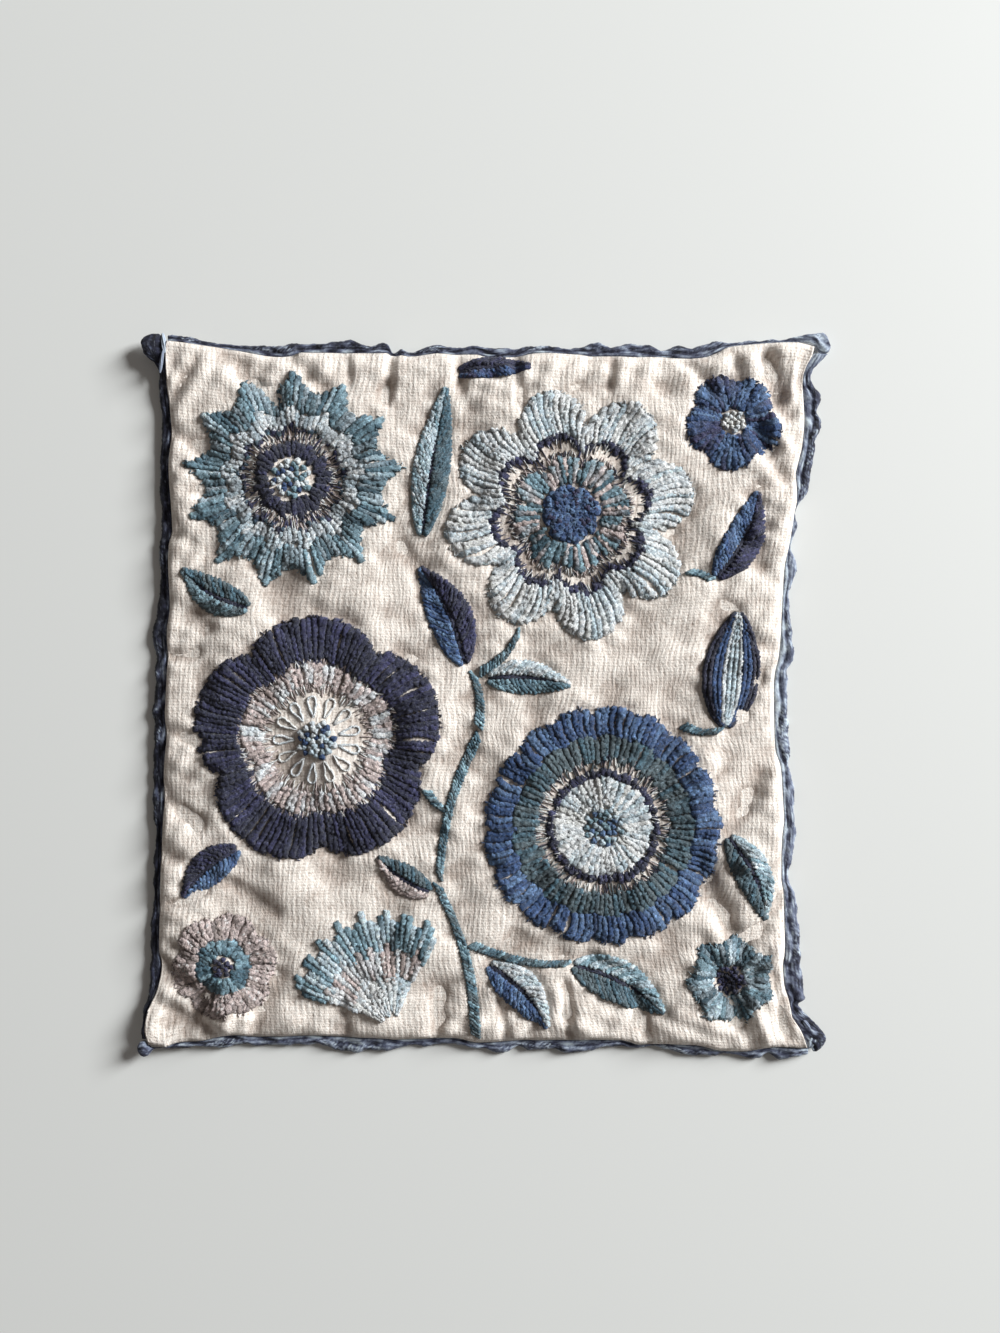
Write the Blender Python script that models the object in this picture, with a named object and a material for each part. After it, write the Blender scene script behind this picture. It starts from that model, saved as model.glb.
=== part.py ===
import math

import bpy
import numpy as np
from mathutils import Vector
from mathutils.geometry import delaunay_2d_cdt

# A square embroidered cushion cover, empty and lying on its back.
# Its front panel, back panel and four edging strips are each one sewn sheet.
# Lengths in this file are millimetres, and the meshes are written in metres.
# X runs to the right, Y towards the top edge and Z up from the table.

MM = 0.001

# Where the middle of the whole outline lies, so that it ends over the origin.
MIDDLE_X = 0.35
MIDDLE_Y = 0.4

# Cloth thicknesses and the space between sewn pieces.
FRONT_THICK = 2.0
BACK_THICK = 1.4
PIECE_GAP = 0.3
SEAM_HALF_GAP = 0.15

# Height of the front's middle over the table, and the width of its rolled rim.
FRONT_HEIGHT = 12.6
ROLL_WIDTH = 14.0
BACK_ROLL_WIDTH = 15.0
CORNER_SINK = 2.6
CORNER_REACH = 42.0

# Height of the seam over the table on each side, and how far each corner is lifted.
SEAM_LEFT = 4.8
SEAM_RIGHT = 2.9
SEAM_TOP = 3.5
SEAM_BOTTOM = 3.8
HALF_WIDE = 230.0
HALF_HIGH = 250.0

# The seam's gentle rise and fall, one row for each wave.
# The columns are its turn in radians for each mm in X and in Y, its height and its start.
SEAM_WAVES = (
    (0.104, -0.062, 0.45, 0.0),
    (0.239, -0.143, 0.30, 1.0),
)

# Embroidery: how far it stands over the ground cloth, and the width of its shoulder.
YARN_RISE = 2.0
SHOULDER = 1.7

# Spacings of the mesh. A pitch is the distance between neighbouring points,
# and a clearance keeps the even points away from the rim or from the embroidery.
STATION_STEP = 14.0
FRONT_PITCH = 13.0
FRONT_CLEARANCE = 12.0
RING_PITCH = 7.2
RING_CLEARANCE = 4.2
HIDDEN_PITCH = 31.0
HIDDEN_CLEARANCE = 18.0
BACK_PITCH = 44.0
BACK_CLEARANCE = 30.0

# Rings of points inside the seam, one row each: distance from the seam and pitch.
FRONT_RINGS = (
    (2.4, 9.0),
    (7.0, 11.0),
)
UNDER_RINGS = (
    (4.5, 14.0),
    (11.0, 20.0),
)
BACK_RINGS = (
    (6.0, 18.0),
    (15.0, 24.0),
)

# Corners of the front panel in plan: x, y, lift of the corner, radius of the lift.
CORNERS = {
    "top_left": (-227.3, 254.2, 5.0, 46.0),
    "top_right": (236.4, 251.0, 3.4, 34.0),
    "bottom_right": (231.6, -251.2, 2.4, 34.0),
    "bottom_left": (-239.6, -247.8, 4.6, 46.0),
}

# Each side's seam and outer edge as sewn and crinkled, one row for each bend.
# The columns are place along the side, seam, outer edge and thickness of the strip.
# The thick rows at an end are the strip's folded end, bunched at the corner.
LEFT_ROWS = (
    (260.2, -232.3, -238.0, 3.5),
    (257.8, -230.2, -241.9, 7),
    (252.7, -229.7, -244.5, 9),
    (247.7, -229.9, -244.1, 9),
    (243.4, -229.0, -241.2, 7),
    (239.8, -227.9, -236.3, 4),
    (231.2, -227.3, -233.2, 2.2),
    (224.8, -227.1, -234.2, 1.8),
    (202.6, -224.7, -231.9, 1.6),
    (190.4, -224.1, -232.3, 1.6),
    (166.7, -226.4, -233.7, 1.6),
    (119.4, -223.7, -232.6, 1.6),
    (109.3, -225.9, -233.7, 1.6),
    (95.0, -226.4, -233.2, 1.6),
    (64.9, -225.5, -235.2, 1.6),
    (44.8, -227.7, -238.8, 2.2),
    (30.5, -227.1, -236.9, 1.6),
    (-1.8, -228.3, -237.2, 1.6),
    (-12.5, -228.9, -238.8, 2),
    (-26.9, -227.7, -237.8, 1.6),
    (-55.6, -229.9, -238.5, 2),
    (-73.5, -229.2, -238.8, 2),
    (-95.0, -230.5, -236.9, 1.6),
    (-181.0, -233.1, -240.4, 1.8),
    (-191.8, -231.2, -240.7, 1.8),
    (-206.1, -233.1, -240.7, 1.8),
    (-216.9, -237.2, -241.6, 1.5),
    (-224.1, -240.4, -244.1, 1.5),
    (-238.4, -242.3, -246.0, 1.5),
    (-244.4, -242.0, -245.4, 1.3),
)
RIGHT_ROWS = (
    (246.5, 236.2, 245.8, 3.4),
    (240.6, 232.6, 241.6, 3.4),
    (234.8, 230.0, 236.5, 3),
    (230.5, 228.9, 235.5, 2.4),
    (224.1, 228.7, 237.8, 1.8),
    (218.3, 229.2, 242.3, 1.6),
    (206.1, 229.9, 240.9, 1.6),
    (199.7, 230.2, 242.8, 1.6),
    (181.0, 228.7, 239.2, 1.6),
    (159.5, 223.7, 235.5, 1.6),
    (152.4, 224.4, 234.2, 1.6),
    (141.6, 224.7, 228.6, 1.6),
    (132.3, 223.0, 224.7, 1.5),
    (123.7, 221.8, 225.3, 1.5),
    (107.9, 219.0, 222.1, 1.5),
    (92.9, 215.8, 225.5, 1.6),
    (73.5, 214.7, 219.8, 1.6),
    (34.1, 212.2, 223.2, 1.6),
    (26.9, 211.3, 222.7, 1.6),
    (18.3, 209.0, 218.7, 1.6),
    (5.4, 208.1, 218.4, 1.6),
    (-37.6, 209.4, 220.5, 1.6),
    (-48.4, 212.7, 220.0, 1.6),
    (-59.2, 214.0, 221.8, 1.6),
    (-73.5, 214.7, 224.1, 1.6),
    (-87.8, 215.4, 223.7, 1.6),
    (-98.6, 214.3, 225.3, 1.6),
    (-130.9, 213.6, 219.4, 1.6),
    (-141.6, 215.4, 224.4, 1.6),
    (-184.6, 215.8, 228.0, 1.6),
    (-191.8, 214.7, 228.0, 1.6),
    (-206.1, 215.6, 230.5, 1.6),
    (-217.6, 219.0, 231.3, 1.8),
    (-221.2, 219.8, 225.9, 1.8),
    (-226.2, 220.1, 230.6, 2.2),
    (-238.4, 226.9, 241.9, 4.5),
    (-245.6, 230.4, 244.9, 5.5),
    (-250.6, 234.5, 242.6, 4.5),
    (-254.2, 236.3, 239.1, 2.5),
)
TOP_ROWS = (
    (-226.4, 255.0, 259.9, 1.6),
    (-180.7, 249.5, 254.3, 1.6),
    (-146.3, 244.4, 253.0, 1.6),
    (-139.1, 244.9, 255.2, 1.8),
    (-131.9, 247.7, 254.5, 1.6),
    (-98.2, 247.3, 257.4, 2),
    (-81.7, 247.0, 253.0, 1.6),
    (-74.6, 247.3, 255.4, 2),
    (-69.5, 247.0, 254.5, 2),
    (-65.6, 244.7, 248.2, 1.6),
    (-59.5, 245.6, 250.8, 1.6),
    (-54.5, 244.9, 248.9, 1.6),
    (-33.0, 247.0, 254.3, 1.8),
    (-19.4, 246.1, 251.9, 1.6),
    (-6.5, 246.1, 253.2, 1.6),
    (4.3, 244.1, 252.5, 1.6),
    (20.8, 244.4, 250.9, 1.6),
    (36.6, 247.0, 253.5, 1.6),
    (47.3, 247.3, 253.2, 1.6),
    (68.8, 246.1, 251.6, 1.6),
    (76.0, 244.9, 254.8, 2),
    (83.2, 245.0, 255.2, 2.2),
    (91.8, 244.9, 252.2, 1.6),
    (108.3, 244.4, 254.8, 1.8),
    (119.0, 244.5, 254.3, 1.8),
    (129.8, 244.3, 250.4, 1.6),
    (140.5, 243.6, 253.6, 1.8),
    (149.9, 243.2, 251.3, 1.6),
    (158.5, 244.1, 253.6, 1.8),
    (165.6, 246.6, 256.5, 1.8),
    (176.4, 251.7, 255.9, 1.6),
    (201.5, 254.3, 257.8, 1.5),
    (215.8, 254.6, 257.3, 1.5),
    (226.6, 254.2, 259.3, 2),
    (237.3, 252.3, 261.2, 6),
    (240.9, 248.1, 261.2, 7.5),
    (244.5, 247.0, 260.2, 7.5),
    (247.4, 247.9, 257.2, 5),
    (248.9, 251.0, 254.0, 3),
)
BOTTOM_ROWS = (
    (-247.8, -248.9, -252.5, 3),
    (-245.9, -246.3, -255.0, 4.5),
    (-243.1, -245.7, -256.3, 6),
    (-240.2, -248.4, -255.9, 5),
    (-238.3, -250.4, -253.7, 2.6),
    (-235.9, -250.6, -252.0, 1.5),
    (-228.7, -250.2, -251.5, 1.5),
    (-219.4, -246.9, -251.5, 1.6),
    (-203.6, -246.1, -251.3, 1.6),
    (-186.4, -242.8, -252.7, 1.8),
    (-178.5, -242.3, -250.0, 1.6),
    (-162.8, -243.7, -251.1, 1.6),
    (-121.2, -242.5, -250.0, 1.6),
    (-103.2, -243.7, -255.3, 1.8),
    (-92.5, -244.1, -255.8, 1.8),
    (-83.9, -244.5, -253.8, 1.6),
    (-71.0, -244.9, -254.8, 1.6),
    (-63.8, -245.4, -253.0, 1.6),
    (-20.8, -244.5, -249.9, 1.6),
    (-2.9, -247.7, -253.8, 1.6),
    (15.1, -247.0, -256.0, 1.8),
    (25.8, -246.1, -252.2, 1.6),
    (33.0, -245.9, -254.4, 1.6),
    (50.9, -245.8, -253.2, 1.6),
    (61.7, -246.1, -256.6, 1.8),
    (98.9, -245.9, -251.5, 1.6),
    (111.9, -249.2, -251.7, 1.5),
    (119.0, -248.9, -251.7, 1.5),
    (151.3, -249.8, -258.3, 1.8),
    (172.8, -253.7, -256.9, 1.6),
    (187.1, -254.2, -259.2, 1.6),
    (197.9, -252.7, -260.3, 1.8),
    (203.6, -251.5, -257.0, 1.6),
    (212.2, -250.6, -260.4, 2),
    (232.7, -253.0, -256.8, 1.4),
)

# Soft folds of the front cloth, one row each.
# The columns are both ends of the fold, its half width and its depth.
# A trough has a positive depth and a ridge a negative one.
FOLDS = (
    (-186.0, 246.0, -150.0, 212.0, 6.5, 2.6),
    (-226.0, 192.0, -203.0, 181.0, 5.5, 2.8),
    (-224.0, 216.0, -208.0, 240.0, 4.5, 1.8),
    (-218.0, 206.0, -200.0, 230.0, 5.0, -1.2),
    (204.0, 240.0, 211.0, 214.0, 7.0, 4.2),
    (222.0, 238.0, 221.0, 216.0, 3.5, -1.6),
    (228.0, 226.0, 205.0, 214.0, 5.0, 2.6),
    (196.0, 190.0, 214.0, 158.0, 6.5, 3.2),
    (206.0, 196.0, 222.0, 172.0, 4.5, -1.4),
    (182.0, 118.0, 206.0, 84.0, 6.0, 1.6),
    (205.0, 30.0, 184.0, -14.0, 7.0, 1.5),
    (206.0, -40.0, 180.0, -84.0, 7.0, 2.2),
    (212.0, -92.0, 190.0, -120.0, 6.0, -1.3),
    (158.0, -128.0, 176.0, -166.0, 8.0, 2.8),
    (212.0, -148.0, 186.0, -176.0, 6.5, 2.8),
    (216.0, -176.0, 196.0, -202.0, 5.0, -1.5),
    (190.0, -246.0, 158.0, -178.0, 6.0, 2.6),
    (219.0, -246.0, 206.0, -196.0, 5.0, 2.2),
    (204.0, -248.0, 188.0, -204.0, 4.5, -1.4),
    (118.0, -246.0, 106.0, -208.0, 5.5, 2.4),
    (56.0, -184.0, 92.0, -192.0, 8.0, 2.4),
    (62.0, -246.0, 58.0, -206.0, 4.5, 2.4),
    (16.0, -246.0, 12.0, -218.0, 4.0, 1.7),
    (-34.0, -244.0, -32.0, -214.0, 4.5, 1.8),
    (-98.0, -243.0, -100.0, -218.0, 4.5, 1.5),
    (-166.0, -243.0, -160.0, -212.0, 5.0, 2.0),
    (-184.0, -241.0, -180.0, -216.0, 4.0, -1.2),
    (-233.0, -190.0, -202.0, -214.0, 7.0, 3.6),
    (-236.0, -216.0, -200.0, -236.0, 5.0, 1.7),
    (-238.0, -232.0, -206.0, -208.0, 4.5, -1.4),
    (-212.0, -240.0, -192.0, -206.0, 5.0, 1.6),
    (-231.0, -152.0, -206.0, -140.0, 5.0, 2.2),
    (-231.0, -112.0, -212.0, -118.0, 4.5, 1.8),
    (-229.0, -70.0, -206.0, -88.0, 5.0, 2.6),
    (-228.0, -24.0, -205.0, -30.0, 5.0, 2.0),
    (-227.0, 30.0, -207.0, 32.0, 4.0, 2.2),
    (-226.0, 68.0, -205.0, 60.0, 4.5, 1.9),
    (-225.0, 118.0, -210.0, 112.0, 4.0, 1.6),
    (-225.0, 144.0, -206.0, 150.0, 4.5, 1.6),
    (-140.0, 245.0, -118.0, 224.0, 6.0, 2.2),
    (-98.0, 246.0, -96.0, 226.0, 3.5, 1.4),
    (-66.0, 244.0, -70.0, 214.0, 4.5, 2.4),
    (-20.0, 245.0, -16.0, 220.0, 4.5, 1.8),
    (22.0, 243.0, 26.0, 214.0, 4.5, 2.2),
    (92.0, 243.0, 90.0, 222.0, 4.0, 1.8),
    (142.0, 243.0, 160.0, 222.0, 5.0, 2.2),
    (176.0, 248.0, 186.0, 226.0, 4.5, 1.5),
    (-62.0, 118.0, -34.0, 60.0, 7.0, 1.8),
    (20.0, -168.0, -2.0, -208.0, 7.0, 1.5),
    (-178.0, -136.0, -150.0, -152.0, 6.0, 1.8),
)

# Broad swells of the front, one row each: middle, reach in X, reach in Y and rise.
SWELLS = (
    (-136.0, 150.0, 62.0, 60.0, 1.5),
    (62.0, 128.0, 74.0, 66.0, 1.2),
    (-116.0, -28.0, 70.0, 66.0, 1.8),
    (84.0, -88.0, 70.0, 64.0, 1.5),
    (178.0, 110.0, 30.0, 70.0, -1.0),
    (-30.0, -205.0, 90.0, 34.0, -1.1),
    (0.0, 20.0, 26.0, 60.0, -0.8),
    (-205.0, -190.0, 30.0, 40.0, 0.8),
)

# Flowers of the embroidery, one row each.
# The columns are middle x and y, radius, number of petals, notch depth, petal shape and turn.
FLOWERS = (
    (-137.0, 156.0, 79.0, 13, 0.20, "pointed", 6.0),
    (62.0, 131.0, 90.0, 8, 0.36, "round", 11.0),
    (-119.0, -30.0, 89.0, 5, 0.19, "round", 20.0),
    (85.0, -92.0, 85.0, 17, 0.07, "round", 0.0),
    (178.0, 197.0, 35.0, 5, 0.26, "round", 50.0),
    (-186.0, -192.0, 38.0, 6, 0.20, "round", 12.0),
    (176.0, -202.0, 33.0, 7, 0.18, "pointed", 30.0),
)

# Leaves, one row each: base x and y, tip x and y, width and sideways bow.
LEAVES = (
    (-44.0, 116.0, -27.0, 222.0, 25.0, 1.0),
    (-14.0, 24.0, -46.0, 94.0, 32.0, -5.0),
    (3.0, 14.0, 62.0, 9.0, 24.0, 3.0),
    (-168.0, 64.0, -216.0, 92.0, 25.0, 5.0),
    (166.0, 86.0, 196.0, 148.0, 28.0, -6.0),
    (175.0, -100.0, 202.0, -160.0, 26.0, 5.0),
    (4.0, -192.0, 46.0, -236.0, 28.0, 5.0),
    (64.0, -191.0, 130.0, -226.0, 31.0, 5.0),
    (-176.0, -108.0, -216.0, -144.0, 25.0, -4.0),
    (-39.0, -139.0, -76.0, -113.0, 22.0, 3.0),
    (-18.0, 233.0, 34.0, 236.0, 15.0, 2.0),
)

# Stems, one row each: both ends, width and sideways bow.
STEMS = (
    (-6.0, -242.0, -33.0, -134.0, 6.8, -7.0),
    (-32.0, -128.0, -4.0, -27.0, 6.8, 6.0),
    (-4.0, -21.0, -8.0, 17.0, 6.4, -3.0),
    (-3.0, 18.0, 25.0, 47.0, 6.0, -4.0),
    (-25.0, -82.0, -41.0, -66.0, 5.6, 2.0),
    (-9.0, -176.0, 60.0, -190.0, 5.6, -5.0),
    (142.0, -20.0, 169.0, -23.0, 5.6, -3.0),
    (146.0, 90.0, 163.0, 84.0, 5.6, 1.0),
)

# A fan-shaped flower seen from the side: base x and y, radius, half angle, heading and teeth.
FAN = (-64.0, -234.0, 86.0, 48.0, 113.0, 8)

# A closed bud: base x and y, tip x and y, width.
BUD = (172.0, -22.0, 182.0, 62.0, 42.0)


def through_rows(rows, column, places):
    """A smooth curve through the rows' values, with slopes held so that it doesn't overshoot."""
    table = np.array([[float(value) for value in row] for row in rows])
    table = table[np.argsort(table[:, 0])]
    at = table[:, 0]
    value = table[:, column]
    slope = np.diff(value) / np.diff(at)
    tangent = np.zeros(len(at))
    same = slope[1:] * slope[:-1] > 0
    mean = 2.0 * slope[1:] * slope[:-1] / np.where(same, slope[1:] + slope[:-1], 1.0)
    tangent[1:-1] = np.where(same, mean, 0.0)
    tangent[0] = slope[0]
    tangent[-1] = slope[-1]
    places = np.clip(np.asarray(places, float), at[0], at[-1])
    k = np.clip(np.searchsorted(at, places, side="right") - 1, 0, len(at) - 2)
    run = at[k + 1] - at[k]
    t = (places - at[k]) / run
    near = (2 * t**3 - 3 * t**2 + 1) * value[k] + (t**3 - 2 * t**2 + t) * run * tangent[k]
    far = (3 * t**2 - 2 * t**3) * value[k + 1] + (t**3 - t**2) * run * tangent[k + 1]
    return near + far


def stations(rows):
    """Places along a side: every row, and more between rows that are far apart."""
    at = np.sort([float(row[0]) for row in rows])
    places = [at[:1]]
    for a, b in zip(at[:-1], at[1:]):
        parts = max(1, math.ceil((b - a) / STATION_STEP))
        places.append(np.linspace(a, b, parts + 1)[1:])
    return np.concatenate(places)


def seam_loop():
    """The front panel's sewn edge in plan, anticlockwise from the lower left corner."""
    sides = (
        (BOTTOM_ROWS, -229.0, 213.0, False, 1, True, "bottom_left"),
        (RIGHT_ROWS, -243.0, 246.0, True, 1, True, "bottom_right"),
        (TOP_ROWS, -227.0, 227.0, False, 1, False, "top_right"),
        (LEFT_ROWS, -239.0, 240.5, True, 1, False, "top_left"),
    )
    points = []
    for rows, low, high, upright, column, rising, corner in sides:
        places = stations(rows)
        places = places[(places > low) & (places < high)]
        places = places if rising else places[::-1]
        seam = through_rows(rows, column, places)
        pair = (seam, places) if upright else (places, seam)
        points.append(np.array([CORNERS[corner][:2]]))
        points.append(np.stack(pair, axis=1))
    return np.concatenate(points)


def seam_height(x, y):
    """Height of the seam over the table, lower on the right and lifted at the corners."""
    across = x / HALF_WIDE
    along = y / HALF_HIGH
    left = np.clip(-across, 0.0, None) ** 10
    right = np.clip(across, 0.0, None) ** 10
    upper = np.clip(along, 0.0, None) ** 10
    lower = np.clip(-along, 0.0, None) ** 10
    total = left + right + upper + lower + 1e-9
    height = SEAM_LEFT * left + SEAM_RIGHT * right + SEAM_TOP * upper + SEAM_BOTTOM * lower
    height = height / total
    for corner_x, corner_y, lift, reach in CORNERS.values():
        square = (x - corner_x) ** 2 + (y - corner_y) ** 2
        height = height + lift * np.exp(-square / (0.5 * reach * reach))
    for rate_x, rate_y, rise, start in SEAM_WAVES:
        height = height + rise * np.sin(rate_x * x + rate_y * y + start)
    return height


def to_seam(loop, x, y):
    """Distance from each point to the seam, and the seam's height where it is nearest."""
    points = np.stack([x, y], axis=1)
    ends = np.roll(loop, -1, axis=0)
    best = np.full(len(x), 1e9)
    height = np.zeros(len(x))
    for start, end in zip(loop, ends):
        run = end - start
        t = np.clip(((points - start) @ run) / (run @ run), 0.0, 1.0)
        foot = start + t[:, None] * run
        distance = np.hypot(points[:, 0] - foot[:, 0], points[:, 1] - foot[:, 1])
        nearer = distance < best
        best = np.where(nearer, distance, best)
        height = np.where(nearer, seam_height(foot[:, 0], foot[:, 1]), height)
    return best, height


def roll(distance, width):
    """Quarter of an ellipse: 0 at the seam, rising steeply and level from the width on."""
    inside = 1.0 - np.clip(distance / width, 0.0, 1.0)
    return np.sqrt(1.0 - inside * inside)


def fold_depth(x, y):
    """Sum of the folds. Each is a soft trough along its line, fading at both ends."""
    depth = np.zeros(len(x))
    for x0, y0, x1, y1, half, deep in FOLDS:
        run_x = x1 - x0
        run_y = y1 - y0
        length = math.hypot(run_x, run_y)
        along = ((x - x0) * run_x + (y - y0) * run_y) / length
        off = ((y - y0) * run_x - (x - x0) * run_y) / length
        over = np.clip(along - length, 0.0, None) + np.clip(-along, 0.0, None)
        depth += deep * np.exp(-((off / half) ** 2) - (over / (1.3 * half)) ** 2)
    return depth


def back_top(distance, seam):
    """Top of the back panel: level over the table and rising to the seam."""
    width = BACK_ROLL_WIDTH + 4.0 * np.clip(seam - 3.0, 0.0, None)
    inside = 1.0 - np.clip(distance / width, 0.0, 1.0)
    return BACK_THICK + np.clip(seam - BACK_THICK, 0.0, None) * inside * inside


def front_ground(x, y, distance, seam):
    """Top of the front's ground cloth, without the embroidery."""
    top = np.full(len(x), FRONT_HEIGHT)
    for middle_x, middle_y, reach_x, reach_y, rise in SWELLS:
        square = ((x - middle_x) / reach_x) ** 2 + ((y - middle_y) / reach_y) ** 2
        top += rise * np.exp(-square)
    for corner_x, corner_y, _, _ in CORNERS.values():
        square = (x - corner_x) ** 2 + (y - corner_y) ** 2
        top -= CORNER_SINK * np.exp(-square / CORNER_REACH**2)
    top -= fold_depth(x, y)
    edge = seam + SEAM_HALF_GAP + FRONT_THICK
    top = np.maximum(top, edge + 0.2)
    rolled = edge + (top - edge) * roll(distance, ROLL_WIDTH)
    return np.maximum(rolled, back_top(distance, seam) + FRONT_THICK + 0.7)


def front_under(x, y, distance, seam):
    """Underside of the front panel, one cloth's thickness below its top."""
    clear = np.clip(distance - 0.6 * FRONT_THICK, 0.0, None)
    ground = front_ground(x, y, distance, seam)
    low = front_ground(x, y, clear, seam)
    under = np.minimum(ground, low) - FRONT_THICK
    return np.maximum(under, back_top(distance, seam) + PIECE_GAP)


def spaced(points, pitch):
    """Points at even steps round a closed curve."""
    closed = np.concatenate([points, points[:1]])
    steps = np.hypot(*np.diff(closed, axis=0).T)
    run = np.concatenate([[0.0], np.cumsum(steps)])
    count = max(8, int(round(run[-1] / pitch)))
    at = np.linspace(0.0, run[-1], count, endpoint=False)
    return np.stack([np.interp(at, run, closed[:, axis]) for axis in (0, 1)], axis=1)


def moved_in(points, by):
    """A closed anticlockwise curve moved towards its inside."""
    ahead = np.roll(points, -1, axis=0) - np.roll(points, 1, axis=0)
    ahead = ahead / np.hypot(ahead[:, 0], ahead[:, 1])[:, None]
    return points + by * np.stack([-ahead[:, 1], ahead[:, 0]], axis=1)


def rings_inside(loop, rows):
    """Points on rings inside the seam, for the rows' distances and pitches."""
    return np.concatenate([spaced(moved_in(loop, by), pitch) for by, pitch in rows])


def flower_outline(x, y, radius, petals, notch, shape, turn):
    """Petals round a middle, with rounded or pointed tips."""
    angle = np.linspace(0.0, 2.0 * math.pi, 720, endpoint=False)
    wave = 0.5 * petals * (angle - math.radians(turn))
    if shape == "pointed":
        size = 1.0 - notch * np.abs(np.sin(wave)) ** 0.9
    else:
        size = 1.0 - notch * (1.0 - np.abs(np.cos(wave)) ** 0.55)
    size = size * (1.0 + 0.015 * np.sin(3.0 * angle + x))
    return np.stack([x + radius * size * np.cos(angle), y + radius * size * np.sin(angle)], axis=1)


def leaf_outline(x0, y0, x1, y1, width, bow):
    """A leaf round a bowed midrib, widest a little below its middle."""
    t = np.linspace(0.0, 1.0, 60)
    length = math.hypot(x1 - x0, y1 - y0)
    ahead = np.array([x1 - x0, y1 - y0]) / length
    aside = np.array([-ahead[1], ahead[0]])
    rib = np.outer(t * length, ahead) + np.outer(bow * np.sin(math.pi * t), aside)
    half = 0.5 * width * np.sin(math.pi * t**0.85) ** 0.8
    one = rib + half[:, None] * aside
    other = rib - half[:, None] * aside
    return np.array([x0, y0]) + np.concatenate([other, one[-2:0:-1]])


def stem_outline(x0, y0, x1, y1, width, bow):
    """A bowed stem of even width."""
    t = np.linspace(0.0, 1.0, 40)
    length = math.hypot(x1 - x0, y1 - y0)
    ahead = np.array([x1 - x0, y1 - y0]) / length
    aside = np.array([-ahead[1], ahead[0]])
    rib = np.outer(t * length, ahead) + np.outer(bow * np.sin(math.pi * t), aside)
    other = rib - 0.5 * width * aside
    one = rib + 0.5 * width * aside
    return np.array([x0, y0]) + np.concatenate([other, one[::-1]])


def fan_outline(x, y, radius, half_angle, heading, teeth):
    """A fan with a toothed upper edge, narrowing to its base."""
    t = np.linspace(-1.0, 1.0, 160)
    angle = np.radians(heading + half_angle * t)
    tooth = np.abs(np.cos(0.5 * math.pi * teeth * (t + 1.0)))
    reach = radius * (1.0 - 0.13 * tooth - 0.06 * t * t)
    upper = np.stack([reach * np.cos(angle), reach * np.sin(angle)], axis=1)
    side = np.linspace(1.0, 0.1, 24)[1:]
    pinch = 0.62 + 0.38 * side
    end = np.radians(heading + half_angle * pinch)
    start = np.radians(heading - half_angle * pinch)
    left = side[:, None] * radius * 0.81 * np.stack([np.cos(end), np.sin(end)], axis=1)
    right = side[:, None] * radius * 0.81 * np.stack([np.cos(start), np.sin(start)], axis=1)
    return np.array([x, y]) + np.concatenate([upper, left, right[::-1]])


def motif_outlines():
    """Every embroidered form's outline in plan."""
    found = [flower_outline(*row) for row in FLOWERS]
    found += [leaf_outline(*row) for row in LEAVES]
    found += [stem_outline(*row) for row in STEMS]
    found.append(fan_outline(*FAN))
    found.append(leaf_outline(*BUD, 0.0))
    return found


def inside(outline, points):
    """Which points lie inside a closed curve, by counting crossings."""
    x0, y0 = outline.T
    x1, y1 = np.roll(outline, -1, axis=0).T
    px = points[:, 0][:, None]
    py = points[:, 1][:, None]
    crosses = (y0 > py) != (y1 > py)
    rise = np.where(y1 == y0, 1.0, y1 - y0)
    hit = crosses & (px < x0 + (py - y0) * (x1 - x0) / rise)
    return hit.sum(axis=1) % 2 == 1


def lattice(pitch):
    """Points on a triangular lattice over the whole cover."""
    rows = np.arange(-262.0, 262.0, pitch * 0.866)
    points = []
    for number, y in enumerate(rows):
        x = np.arange(-252.0 + 0.5 * pitch * (number % 2), 252.0, pitch)
        points.append(np.stack([x, np.full(len(x), y)], axis=1))
    return np.concatenate(points)


def far_from(points, others, least):
    """Which points are at least that far from all of the others."""
    keep = np.ones(len(points), bool)
    for other in others:
        keep &= np.hypot(points[:, 0] - other[0], points[:, 1] - other[1]) > least
    return keep


def triangles(loop, more):
    """Triangles that fill the loop and use the further points, with all their points in plan."""
    points = np.concatenate([loop, more[inside(loop, more)]])
    given = [Vector((float(x), float(y))) for x, y in points]
    edges = [(k, (k + 1) % len(loop)) for k in range(len(loop))]
    result = delaunay_2d_cdt(given, edges, [], 0, 1e-4, True)
    source = [ids[0] for ids in result[3]]
    faces = np.array([[source[k] for k in face] for face in result[2]])
    faces = faces[inside(loop, points[faces].mean(axis=1))]
    a, b, c = (points[faces[:, k]] for k in range(3))
    area = (b[:, 0] - a[:, 0]) * (c[:, 1] - a[:, 1]) - (b[:, 1] - a[:, 1]) * (c[:, 0] - a[:, 0])
    faces[area < 0] = faces[area < 0][:, ::-1]
    return points, faces


def sheet(name, count, upper, lower):
    """A closed sheet from an upper and a lower surface that share their rim in plan."""
    top_points, top_faces = upper
    under_points, under_faces = lower
    start = len(top_points)
    points = np.concatenate([top_points, under_points])
    faces = [tuple(int(k) for k in face) for face in top_faces]
    faces += [tuple(int(k) + start for k in face[::-1]) for face in under_faces]
    for k in range(count):
        following = (k + 1) % count
        faces.append((following, k, start + k))
        faces.append((following, start + k, start + following))
    add_mesh(name, points, faces)


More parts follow.
